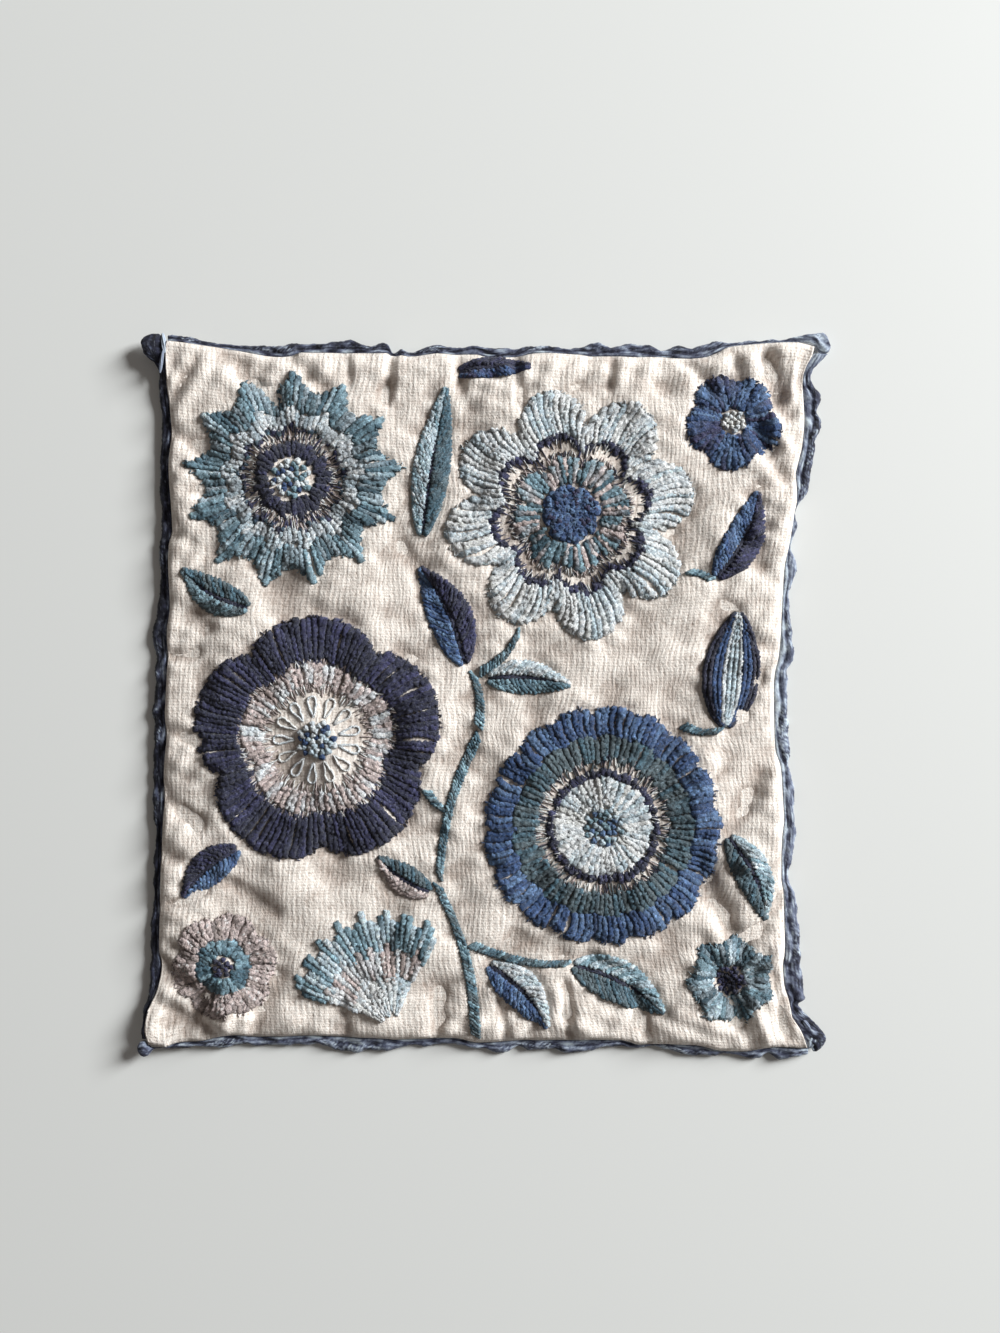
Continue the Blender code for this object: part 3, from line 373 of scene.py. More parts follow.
def front_ground(x, y, distance, seam):
    """Top of the front's ground cloth, without the embroidery."""
    top = np.full(len(x), FRONT_HEIGHT)
    for middle_x, middle_y, reach_x, reach_y, rise in SWELLS:
        square = ((x - middle_x) / reach_x) ** 2 + ((y - middle_y) / reach_y) ** 2
        top += rise * np.exp(-square)
    for corner_x, corner_y, _, _ in CORNERS.values():
        square = (x - corner_x) ** 2 + (y - corner_y) ** 2
        top -= CORNER_SINK * np.exp(-square / CORNER_REACH**2)
    top -= fold_depth(x, y)
    edge = seam + SEAM_HALF_GAP + FRONT_THICK
    top = np.maximum(top, edge + LEAST_RISE)
    rolled = edge + (top - edge) * roll(distance, ROLL_WIDTH)
    return np.maximum(rolled, back_top(distance, seam) + FRONT_THICK + LEAST_GAP)


def seam_loop():
    """The sewn edge in plan, anticlockwise, with the index of each corner along it."""
    sides = (
        (BOTTOM_ROWS, -229.0, 213.0, False, True, "bottom_left"),
        (RIGHT_ROWS, -243.0, 246.0, True, True, "bottom_right"),
        (TOP_ROWS, -227.0, 227.0, False, False, "top_right"),
        (LEFT_ROWS, -239.0, 240.5, True, False, "top_left"),
    )
    points = []
    starts = []
    for rows, low, high, upright, rising, corner in sides:
        places = np.arange(low, high, SEAM_STEP)
        places = places if rising else places[::-1]
        seam = through_rows(rows, 1, places)
        starts.append(sum(len(part) for part in points))
        points.append(np.array([CORNERS[corner][:2]]))
        points.append(np.stack((seam, places) if upright else (places, seam), axis=1))
    return np.concatenate(points), starts


def evenly(points, count):
    """Points at even steps along an open curve."""
    run = np.concatenate([[0.0], np.cumsum(np.hypot(*np.diff(points, axis=0).T))])
    at = np.linspace(0.0, run[-1], count)
    return np.stack([np.interp(at, run, points[:, axis]) for axis in (0, 1)], axis=1)


def softened(points):
    """The same curve with its short bends smoothed away and both its ends kept."""
    count = len(points)
    t = np.linspace(0.0, 1.0, count)[:, None]
    chord = points[0] * (1.0 - t) + points[-1] * t
    off = points - chord
    mirrored = np.concatenate([-off[:0:-1], off, -off[-2::-1]])
    reach = max(2, int(SOFT_SHARE * count))
    weight = np.exp(-0.5 * (np.arange(-2 * reach, 2 * reach + 1) / reach) ** 2)
    weight = weight / weight.sum()
    smooth = [np.convolve(mirrored[:, axis], weight, "same") for axis in (0, 1)]
    smooth = np.stack(smooth, axis=1)
    return chord + smooth[count - 1:2 * count - 1]


def patch(columns, rows):
    """Plan of a sheet whose four sides follow the seam. Each point is the blend of the two
    sides in u, plus that in v, less that of the corners. The blend takes the sides without
    their short bends, which are added again beside each side and fade inwards."""
    closed = np.concatenate([seam, seam[:1]])
    ends = corner_at[1:] + [len(seam)]
    bottom, right, top, left = (closed[a:b + 1] for a, b in zip(corner_at, ends))
    u = np.linspace(0.0, 1.0, columns)[None, :, None]
    v = np.linspace(0.0, 1.0, rows)[:, None, None]
    sides = (evenly(bottom, columns), evenly(top[::-1], columns),
             evenly(left[::-1], rows), evenly(right, rows))
    low, high, near, far = (softened(side) for side in sides)
    bends = [side - smooth for side, smooth in zip(sides, (low, high, near, far))]
    bends = [bend[None] if k < 2 else bend[:, None] for k, bend in enumerate(bends)]
    low, high, near, far = low[None], high[None], near[:, None], far[:, None]
    corners = (1 - v) * ((1 - u) * low[:, :1] + u * low[:, -1:])
    corners = corners + v * ((1 - u) * high[:, :1] + u * high[:, -1:])
    plan = (1 - v) * low + v * high + (1 - u) * near + u * far - corners
    for bend, inwards in zip(bends, (v, 1 - v, u, 1 - u)):
        plan = plan + bend * np.exp(-BEND_FADE * inwards)
    return plan


def ripples(x, y, length, count, seed):
    """Smooth uneven relief of about unit height: a sum of sine waves in chance directions."""
    chance = np.random.default_rng(seed)
    total = np.zeros(np.shape(x))
    for _ in range(count):
        heading = chance.uniform(0.0, math.tau)
        rate = math.tau / (length * chance.uniform(0.7, 1.5))
        start = chance.uniform(0.0, math.tau)
        total += np.sin(rate * (x * math.cos(heading) + y * math.sin(heading)) + start)
    return total / math.sqrt(0.5 * count)


def ground(x, y):
    """Height of the front cloth over the table: its form and folds, and fine puckers
    that are strongest beside the seam and fade towards the middle."""
    shape = np.shape(x)
    x = np.ravel(x)
    y = np.ravel(y)
    distance, rim = to_seam(rough_seam, x, y)
    height = front_ground(x, y, distance, rim) - FOLD_MORE * fold_depth(x, y)
    loose = 1.0 - np.exp(-distance / SEAM_HOLD)
    for length, rise, seed in CRUMPLES:
        height += loose * rise * ripples(x, y, length, 9, seed)
    stitches = from_stitches(x, y)
    puckers = ((*SEAM_PUCKERS, distance, 5), (*STITCH_PUCKERS, stitches, 12))
    for rise, length, reach, away, seed in puckers:
        height += loose * rise * np.exp(-away / reach) * ripples(x, y, length, 12, seed)
    height -= loose * STITCH_PULL * np.exp(-((stitches / STITCH_REACH) ** 2))
    floor = back_top(distance, rim) + FRONT_THICK + CLEARANCE
    above = height - floor
    height = floor + 0.5 * (above + np.sqrt(above * above + 1.0))
    return height.reshape(shape)


def from_stitches(x, y):
    """Distance from each point to the nearest outline of the embroidery."""
    nearest = np.full(len(x), 1e9)
    for px, py in stitched_edges:
        nearest = np.minimum(nearest, (x - px) ** 2 + (y - py) ** 2)
    return np.sqrt(nearest)


def petal_edge(flower, angle):
    """Distance of the flower's outline from its middle, as in the solid."""
    x, _, radius, petals, notch, shape, turn = flower
    wave = 0.5 * petals * (angle - math.radians(turn))
    if shape == "pointed":
        size = 1.0 - notch * np.abs(np.sin(wave)) ** 0.9
    else:
        size = 1.0 - notch * (1.0 - np.abs(np.cos(wave)) ** 0.55)
    return radius * size * (1.0 + 0.015 * np.sin(3.0 * angle + x))


def rib_line(x0, y0, x1, y1, bow, t):
    """A bowed midrib from a base to a tip, and the directions along and across it."""
    length = math.hypot(x1 - x0, y1 - y0)
    ahead = np.array([x1 - x0, y1 - y0]) / length
    aside = np.array([-ahead[1], ahead[0]])
    line = np.array([x0, y0]) + np.outer(t * length, ahead)
    return line + np.outer(bow * np.sin(math.pi * t), aside), ahead, aside


def half_wide(width, t):
    """Half the width of a leaf or of the bud at each share of its length, as in the solid."""
    return 0.5 * width * np.sin(math.pi * t**0.85) ** 0.8


def at_angle(x, y, reach, angle):
    """Points at a distance and an angle from a middle."""
    return np.stack([x + reach * np.cos(angle), y + reach * np.sin(angle)], axis=-1)


def outline_points():
    """Points about 4 mm apart round every flower and leaf and along every stem."""
    found = []
    for flower in FLOWERS:
        angle = np.linspace(0.0, math.tau, int(1.6 * flower[2]), endpoint=False)
        found.append(at_angle(*flower[:2], petal_edge(flower, angle), angle))
    for x0, y0, x1, y1, width, bow in (*LEAVES, (*BUD, 0.0)):
        t = np.linspace(0.0, 1.0, 20)
        line, _, aside = rib_line(x0, y0, x1, y1, bow, t)
        half = half_wide(width, t)
        found += [line + half[:, None] * aside, line - half[:, None] * aside]
    for x0, y0, x1, y1, _, bow in STEMS:
        found.append(rib_line(x0, y0, x1, y1, bow, np.linspace(0.0, 1.0, 20))[0])
    return np.concatenate(found)


def solid(name, points, faces):
    """A mesh from rows of points in millimetres and arrays of faces with 3, 4 or 5 corners."""
    mesh = bpy.data.meshes.new(name)
    placed = (points - np.array([MIDDLE_X, MIDDLE_Y, 0.0])) * MM
    mesh.vertices.add(len(placed))
    mesh.vertices.foreach_set("co", placed.astype(np.float32).ravel())
    corners = np.concatenate([np.asarray(part).ravel() for part in faces])
    sizes = np.concatenate([np.full(len(part), np.shape(part)[1]) for part in faces])
    mesh.loops.add(len(corners))
    mesh.loops.foreach_set("vertex_index", corners.astype(np.int32))
    mesh.polygons.add(len(sizes))
    starts = np.concatenate([[0], np.cumsum(sizes)[:-1]])
    mesh.polygons.foreach_set("loop_start", starts.astype(np.int32))
    mesh.polygons.foreach_set("use_smooth", np.ones(len(sizes), bool))
    mesh.update(calc_edges=True)
    mesh.validate()
    made = bpy.data.objects.new(name, mesh)
    bpy.context.scene.collection.objects.link(made)
    return made


def paint_points(piece, name, colours):
    """Stores a colour for each point of the piece."""
    layer = piece.data.color_attributes.new(name, "FLOAT_COLOR", "POINT")
    full = np.concatenate([colours, np.ones((len(colours), 1))], axis=1)
    layer.data.foreach_set("color", full.astype(np.float32).ravel())


def map_points(piece, places):
    """Gives the piece a UV map from a place for each point, in metres along the cloth."""
    layer = piece.data.uv_layers.new(name="cloth")
    corners = np.zeros(len(piece.data.loops), np.int32)
    piece.data.loops.foreach_get("vertex_index", corners)
    layer.data.foreach_set("uv", places[corners].astype(np.float32).ravel())


def grid_faces(rows, columns, start=0):
    """Quads over a grid of points that runs column by column along each row."""
    k = start + np.arange(rows * columns).reshape(rows, columns)
    quads = np.stack([k[:-1, :-1], k[:-1, 1:], k[1:, 1:], k[1:, :-1]], axis=-1)
    return quads.reshape(-1, 4)


def rim_of(rows, columns, start=0):
    """Indices round a grid of points, anticlockwise from its first point."""
    k = start + np.arange(rows * columns).reshape(rows, columns)
    return np.concatenate([k[0, :-1], k[:-1, -1], k[-1, :0:-1], k[:0:-1, 0]])


def zipper(outer, outer_at, inner, inner_at):
    """Triangles between two closed rings with different numbers of points.
    Both rings are walked together, and each step closes one triangle."""
    outer = np.append(outer, outer[0])
    inner = np.append(inner, inner[0])
    outer_at = np.append(outer_at, 4.0)
    inner_at = np.append(inner_at, 4.0)
    at = np.concatenate([outer_at[1:], inner_at[1:]])
    is_outer = np.concatenate([np.ones(len(outer) - 1, int), np.zeros(len(inner) - 1, int)])
    order = np.argsort(at, kind="stable")
    is_outer = is_outer[order]
    i = np.cumsum(is_outer)
    j = np.cumsum(1 - is_outer)
    before_outer = outer[i - is_outer]
    before_inner = inner[j - (1 - is_outer)]
    third = np.where(is_outer == 1, outer[i], inner[j])
    return np.stack([before_outer, before_inner, third], axis=1)


def tube_faces(rings, around):
    """Quads between the neighbouring closed rings of a tube's points."""
    k = np.arange(rings * around).reshape(rings, around)
    after = np.roll(k, -1, axis=1)
    return np.stack([k[:-1], after[:-1], after[1:], k[1:]], axis=-1).reshape(-1, 4)


def ring_places(rows, columns):
    """Place of each rim point: one unit for each side."""
    across = np.arange(columns - 1) / (columns - 1)
    along = np.arange(rows - 1) / (rows - 1)
    return np.concatenate([across, 1.0 + along, 2.0 + across, 3.0 + along])


seam, corner_at = seam_loop()
rough_seam = seam[::3]
stitched_edges = outline_points()

RIBS = 122
RIB_SAMPLES = 4
CLOTH_ROWS = 150
RIB_RELIEF = 0.065
UNDER_COUNT = 27
UNDER_MIDDLE = np.array([-3.0, 2.0])
UNDER_SHARE = 0.994
UNDER_GAP = 0.3

# Sideways wander of the ribs: amount, wave length and a number that sets its places.
WANDERS = ((2.2, 95.0, 8), (0.5, 24.0, 9))
WANDER_FROM = 26.0

# Size of the cloth map in metres, and the corner from which the other maps are measured in mm.
MAP_SIZE = (0.4636, 0.497)
MAP_CORNER = np.array([232.0, 248.0])

columns = RIBS * RIB_SAMPLES + 1
plan = patch(columns, CLOTH_ROWS)
distance, rim = to_seam(rough_seam, plan[..., 0].ravel(), plan[..., 1].ravel())
distance = distance.reshape(CLOTH_ROWS, columns)
free = 1.0 - np.exp(-((distance / WANDER_FROM) ** 2))
x, y = plan[..., 0], plan[..., 1]
for amount, length, seed in WANDERS:
    x = x + free * amount * ripples(plan[..., 0], y, length, 7, seed)
phase = math.tau * np.arange(columns) / RIB_SAMPLES
away = 1.0 - np.exp(-distance / 3.0)
slub = 1.0 + 0.55 * ripples(x * 2.2, y * 0.5, 9.0, 8, 6)
z = ground(x, y) + away * RIB_RELIEF * slub * np.cos(phase)[None, :]
under_plan = UNDER_MIDDLE + (patch(UNDER_COUNT, UNDER_COUNT) - UNDER_MIDDLE) * UNDER_SHARE
ux, uy = under_plan[..., 0].ravel(), under_plan[..., 1].ravel()
under_distance, under_rim = to_seam(rough_seam, ux, uy)
under_z = ground(ux, uy) - FRONT_THICK
under_z = np.maximum(under_z, back_top(under_distance, under_rim) + UNDER_GAP)
under_z = np.where(under_distance < 2.0 * FRONT_THICK, under_rim + UNDER_GAP, under_z)
top_points = np.stack([x.ravel(), y.ravel(), z.ravel()], axis=1)
under_points = np.stack([ux, uy, under_z], axis=1)
points = np.concatenate([top_points, under_points])
top_rim = rim_of(CLOTH_ROWS, columns)
under_start = len(top_points)
under_ring = rim_of(UNDER_COUNT, UNDER_COUNT, under_start)
faces = [grid_faces(CLOTH_ROWS, columns)]
faces.append(grid_faces(UNDER_COUNT, UNDER_COUNT, under_start)[:, ::-1])
faces.append(zipper(top_rim, ring_places(CLOTH_ROWS, columns), under_ring,
                    ring_places(UNDER_COUNT, UNDER_COUNT)))
front = solid("front_cloth", points, faces)
u, v = (np.linspace(0.0, size, count) for size, count in zip(MAP_SIZE, (columns, CLOTH_ROWS)))
u, v = np.meshgrid(u, v)
flat_map = np.stack([u.ravel(), v.ravel()], axis=1)
under_map = (under_points[:, :2] + MAP_CORNER) * MM
map_points(front, np.concatenate([flat_map, under_map]))

# The cloth is painted darker where it dips below the mean height around: painted shade in its
# hollows.
# The mean is taken over boxes of two sizes, as sums of sums less those of the sides.
DIP_REACHES = (5, 9)
DIP_SHADE_STRENGTH = 0.38
dip = np.zeros_like(z)
for reach in DIP_REACHES:
    padded = np.pad(z, ((reach, reach), (3 * reach, 3 * reach)), mode="edge")
    total = np.cumsum(np.cumsum(np.pad(padded, ((1, 0), (1, 0))), axis=0), axis=1)
    rows, cells = 2 * reach + 1, 6 * reach + 1
    upper = total[rows:, cells:] - total[:-rows, cells:]
    around = upper - total[rows:, :-cells] + total[:-rows, :-cells]
    dip += around / (rows * cells) - z
# Painted shade: the deeper a point dips below the mean around it, the darker it is painted.
dip_shade = np.clip(DIP_SHADE_STRENGTH * dip, 0.0, 1.0) * away
dip_shade = np.concatenate([dip_shade.ravel(), np.zeros(len(under_points))])[:, None]
paint_points(front, "dip", dip_shade * np.ones(3))


def linear(colour):
    """A colour given in 0 to 255, made linear."""
    share = np.asarray(colour, float) / 255.0
    return np.where(share > 0.04045, ((share + 0.055) / 1.055) ** 2.4, share / 12.92)


class Nodes:
    """A new material's node tree, with short calls for adding and joining its nodes."""

    def __init__(self, name):
        self.material = bpy.data.materials.new(name)
        self.material.use_nodes = True
        self.tree = self.material.node_tree
        self.shader = self.tree.nodes["Principled BSDF"]

    def set(self, target, socket, value):
        """Joins a socket to the value when it is another node's output, or else sets it."""
        if isinstance(value, bpy.types.NodeSocket):
            self.tree.links.new(value, target.inputs[socket])
        else:
            target.inputs[socket].default_value = value

    def add(self, kind, output=0, settings=(), **values):
        """One node. Values go by socket name, with spaces written as underscores, or by
        number, written as n0, n1 and so on."""
        node = self.tree.nodes.new(kind)
        for name, value in dict(settings).items():
            setattr(node, name, value)
        for socket, value in values.items():
            numbered = socket[0] == "n" and socket[1:].isdigit()
            self.set(node, int(socket[1:]) if numbered else socket.replace("_", " "), value)
        return node.outputs[output]

    def maths(self, operation, a, b=0.0):
        """One sum on two numbers."""
        return self.add("ShaderNodeMath", 0, {"operation": operation}, n0=a, n1=b)

    def summed(self, *terms):
        """Sum of values, each times its weight."""
        total = self.maths("MULTIPLY", *terms[0])
        for term in terms[1:]:
            total = self.maths("ADD", total, self.maths("MULTIPLY", *term))
        return total

    def noise(self, place, scale, detail=2.0, roughness=0.5):
        """Smooth uneven values from 0 to 1, of one scale or of one for each direction."""
        if isinstance(scale, tuple):
            place = self.add("ShaderNodeMapping", 0, {}, Vector=place, Scale=scale)
            scale = 1.0
        return self.add("ShaderNodeTexNoise", 0, {}, Vector=place, Scale=scale,
                        Detail=detail, Roughness=roughness)

    def cloth_map(self):
        """The place on the cloth map, and its two parts."""
        place = self.add("ShaderNodeUVMap", 0, {"uv_map": "cloth"})
        parts = self.add("ShaderNodeSeparateXYZ", 0, {}, Vector=place).node
        return place, parts.outputs[0], parts.outputs[1]

    def wave(self, place, pitch):
        """The turn of a wave of the given pitch."""
        return self.maths("MULTIPLY", place, math.tau / pitch)

    def between(self, share, first, second):
        """A colour between two, by a share from 0 to 1."""
        node = self.tree.nodes.new("ShaderNodeMix")
        node.data_type = "RGBA"
        self.set(node, 0, share)
        self.set(node, 6, first)
        self.set(node, 7, second)
        return node.outputs[2]

    def ranged(self, value, low, high, first=0.0, second=1.0):
        """A value from one range, stretched onto another and clamped."""
        return self.add("ShaderNodeMapRange", 0, {}, Value=value, From_Min=low,
                        From_Max=high, To_Min=first, To_Max=second)

    def surface(self, colour, roughness, specular, sheen=0.0):
        """Colour and finish of the surface."""
        self.set(self.shader, "Base Color", colour)
        self.set(self.shader, "Roughness", roughness)
        self.set(self.shader, "Specular IOR Level", specular)
        self.set(self.shader, "Sheen Weight", sheen)

    def raised(self, height, strength, depth):
        """Bump of the given depth in metres."""
        bump = self.add("ShaderNodeBump", 0, {}, Height=height, Strength=strength, Distance=depth)
        self.set(self.shader, "Normal", bump)


# Tones of the cotton: painted highlight on the ribs' crests, the tone of their flanks, painted shade
# between them, and the darker tone of random mottles and of the painted shade in dips.
LIT_CREST = (*linear((249, 242, 234)), 1.0)
SHADE = (*linear((230, 217, 206)), 1.0)
SHADED_HOLLOW = (*linear((158, 140, 127)), 1.0)
MOTTLE_AND_DIP_SHADE = (*linear((152, 133, 121)), 1.0)

WEFT_PITCH = 0.0021

rib = Nodes("ribbed_cotton")
place, map_x, map_y = rib.cloth_map()
drift = rib.noise(place, (260.0, 90.0, 1.0))
drift = rib.maths("MULTIPLY", rib.maths("SUBTRACT", drift, 0.5), 2.6)
turn = rib.maths("ADD", rib.maths("MULTIPLY", map_x, math.tau * RIBS / MAP_SIZE[0]), drift)
broken = rib.ranged(rib.noise(place, (210.0, 62.0, 1.0)), 0.34, 0.66, 0.12, 1.0)
crest = rib.maths("MULTIPLY_ADD", rib.maths("COSINE", turn), rib.maths("MULTIPLY", broken, 0.5))
rib.set(crest.node, 2, 0.5)
slubs = rib.noise(place, (300.0, 210.0, 1.0), 3.0, 0.65)
fibres = rib.noise(place, (720.0, 400.0, 1.0), 3.0, 0.75)
weft = rib.maths("SINE", rib.wave(map_y, WEFT_PITCH))
height = rib.summed((crest, 0.22), (slubs, 0.62), (fibres, 0.95), (weft, 0.05))
# Painted light of the ribs: the tones follow the height that also drives the bump. Crests are lighter
# and lows get painted shade, and the slubs and fibres in that height also vary the tone at random.
tone = rib.ranged(height, 0.72, 1.06)
deep = rib.ranged(height, 0.48, 0.80)
worn = rib.noise(rib.add("ShaderNodeTexCoord", 3), 14.0, 3.0)
colour = rib.between(deep, SHADED_HOLLOW, rib.between(tone, SHADE, LIT_CREST))
colour = rib.between(rib.ranged(worn, 0.3, 0.8, 0.0, 0.22), colour, SHADE)
# Random darker mottles, in the same tone as the painted shade of the dips.
blotch = rib.noise(place, 62.0, 3.0, 0.6)
mottled = rib.between(rib.ranged(blotch, 0.50, 0.72, 0.0, 0.42), colour, MOTTLE_AND_DIP_SHADE)
# The dip attribute carries the painted shade of the cloth's dips. It is mixed in below and made
# uneven by the slubs.
painted_shade = rib.add("ShaderNodeAttribute", 2, {"attribute_name": "dip"})
shade_in_dips = rib.maths("MULTIPLY", painted_shade, rib.ranged(slubs, 0.25, 0.75, 1.25, 0.6))
# Last comes the painted shade of the dips, made uneven by the slubs.
rib.surface(rib.between(rib.maths("MULTIPLY", shade_in_dips, 0.6), mottled, MOTTLE_AND_DIP_SHADE), 0.93, 0.2, 0.15)
rib.raised(height, 0.85, 0.0011)
front.data.materials.append(rib.material)
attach(front, "root")
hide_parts("front_panel")

# The embroidery.
# Flowers, leaves and stems in thick soft wool, worked by hand through the front cloth.
# Satin, chain and knot stitches lie side by side, so each form stands about 2 mm proud.
YARN_HEIGHT = 2.3
YARN_PITCH = 3.9
LEAF_PITCH = 3.0
LEAF_WIDTH = 1.25 * LEAF_PITCH
STEM_PITCH = 2.3
YARN_STEP = 1.3
THREAD_STEP = 3.2
YARN_TWIST = 3.3
YARN_FUZZ = 0.072
GOLDEN_ANGLE = 2.39996
LEAST_COLOUR = 0.002

# Light flecks in the wool, put only on each strand's crown and so partly a painted highlight:
# the chance of a point without one, and what a full fleck adds.
NO_FLECK = 0.80
FLECK = np.array([0.055, 0.062, 0.08])

# Section of a strand: side and height of each point, and the painted shade of the yarn there, darkest
# low at its sides.
ARCH = (
    (1.00, -0.30, 0.48),
    (0.94, 0.48, 0.84),
    (0.58, 0.87, 1.00),
    (0.00, 1.00, 1.05),
    (-0.58, 0.87, 1.00),
    (-0.94, 0.48, 0.84),
    (-1.00, -0.30, 0.48),
)

# Rings of a knot: reach and height as shares of its radius, and the painted shade of the yarn there,
# darkest at its base.
KNOT_RINGS = (
    (1.00, -0.20, 0.40),
    (1.02, 0.45, 0.85),
    (0.74, 0.95, 1.05),
    (0.22, 1.08, 0.90),
)
KNOT_AROUND = 8

# Dyed wools, in red, green and blue from 0 to 255.
YARNS = {
    "white": (250, 250, 246),
    "ice": (232, 240, 246),
    "mist": (194, 211, 221),
    "teal": (132, 163, 176),
    "teal_deep": (70, 102, 117),
    "royal": (46, 75, 120),
    "royal_pale": (94, 124, 164),
    "navy": (28, 29, 56),
    "indigo": (48, 48, 86),
    "mauve": (206, 188, 184),
    "taupe": (172, 156, 150),
    "charcoal": (86, 102, 108),
}

# Rings of satin stitch: flower, inner and outer share of its radius, ragged share and wools.
BANDS = (
    (0, 0.68, 1.00, 0.03, ("teal", "teal", "teal_deep", "mist")),
    (0, 0.50, 0.70, 0.03, ("ice", "mist", "ice")),
    (0, 0.47, 0.53, 0.03, ("navy", "indigo", "teal_deep")),
    (0, 0.21, 0.37, 0.03, ("navy", "indigo", "navy")),
    (1, 0.64, 1.00, 0.03, ("ice", "white", "mist", "ice")),
    (1, 0.60, 0.67, 0.03, ("navy", "indigo", "navy")),
    (1, 0.26, 0.47, 0.03, ("teal", "teal_deep", "mauve")),
    (1, 0.03, 0.24, 0.02, ("royal", "royal_pale", "royal")),
    (2, 0.64, 1.00, 0.03, ("navy", "indigo", "navy")),
    (2, 0.44, 0.62, 0.03, ("mauve", "taupe", "mauve", "ice")),
    (3, 0.76, 1.00, 0.02, ("royal", "royal_pale", "royal")),
    (3, 0.56, 0.78, 0.03, ("charcoal", "teal_deep", "charcoal")),
    (3, 0.42, 0.48, 0.03, ("navy", "indigo", "navy")),
    (3, 0.16, 0.42, 0.03, ("ice", "mist", "white")),
    (4, 0.30, 1.00, 0.06, ("royal", "royal_pale", "royal", "indigo")),
    (5, 0.52, 1.00, 0.05, ("mauve", "mauve", "taupe")),
    (5, 0.22, 0.56, 0.05, ("teal", "teal_deep")),
    (6, 0.36, 1.00, 0.07, ("teal", "mist", "teal_deep")),
)

# Each flower's middle of knots: flower, share of its radius, wools and size of a knot.
HEARTS = (
    (0, 0.17, ("royal", "teal", "ice"), 2.3),
    (1, 0.21, ("royal", "royal", "royal_pale", "indigo"), 2.3),
    (2, 0.15, ("ice", "royal", "mist"), 2.3),
    (3, 0.16, ("teal", "mist", "royal_pale"), 2.3),
    (4, 0.22, ("white", "ice"), 2.0),
    (5, 0.18, ("navy", "indigo"), 2.0),
    (6, 0.30, ("navy", "indigo"), 2.0),
)

# Chain loops round a middle: share of the radius where they start, length, wools and number.
LOOPS = {2: (0.18, 15.0, ("white", "ice"), 13)}

# Fine threads over the edges of rings: flower, share of its radius, length and wools.
WHISKERS = (
    (0, 0.50, 9.0, ("navy", "white", "indigo", "mauve")),
    (0, 0.37, 5.0, ("navy", "white", "mauve")),
    (1, 0.66, 11.0, ("navy", "indigo", "white", "navy")),
    (1, 0.47, 6.0, ("navy", "white", "mauve")),
    (2, 0.65, 9.0, ("white", "mauve", "indigo", "navy")),
    (2, 0.44, 8.0, ("mauve", "white", "taupe")),
    (3, 0.57, 9.0, ("white", "navy", "mauve", "charcoal")),
    (3, 0.43, 6.0, ("navy", "white", "indigo")),
    (5, 0.54, 5.0, ("navy", "mauve", "white")),
    (6, 0.40, 5.0, ("white", "navy")),
)

# The wools of each leaf's two halves.
LEAF_YARNS = (
    (("teal", "mist"), ("teal_deep", "charcoal")),
    (("royal", "royal_pale"), ("navy", "indigo")),
    (("mist", "ice"), ("teal", "teal_deep")),
    (("charcoal", "teal"), ("teal_deep", "charcoal")),
    (("royal", "royal_pale"), ("indigo", "navy")),
    (("teal", "mist"), ("charcoal", "teal_deep")),
    (("ice", "mist"), ("royal", "royal_pale")),
    (("teal", "mist"), ("teal_deep", "charcoal")),
    (("royal_pale", "royal"), ("navy", "indigo")),
    (("mauve", "taupe"), ("charcoal", "teal_deep")),
    (("navy", "indigo"), ("royal", "indigo")),
)

# Rings of the fan-shaped flower: inner and outer share of its radius, ragged share and wools.
FAN_BANDS = (
    (0.70, 1.00, 0.05, ("teal", "teal_deep", "teal", "mist")),
    (0.44, 0.73, 0.05, ("mauve", "taupe", "ice")),
    (0.12, 0.48, 0.02, ("ice", "mist", "white")),
)

# Layers of the bud: wools, and inner and outer share of its half width.
BUD_BANDS = (
    (("navy", "indigo"), 0.66, 1.0),
    (("royal", "royal_pale"), 0.33, 0.68),
    (("mist", "ice"), 0.0, 0.35),
)


def gathered(parts):
    """Several sets of points, colours and faces made one, with the faces renumbered."""
    starts = np.concatenate([[0], np.cumsum([len(part[0]) for part in parts])[:-1]])
    points = np.concatenate([part[0] for part in parts])
    colours = np.concatenate([part[1] for part in parts])
    faces = [f + start for part, start in zip(parts, starts) for f in part[2]]
    return points, colours, faces


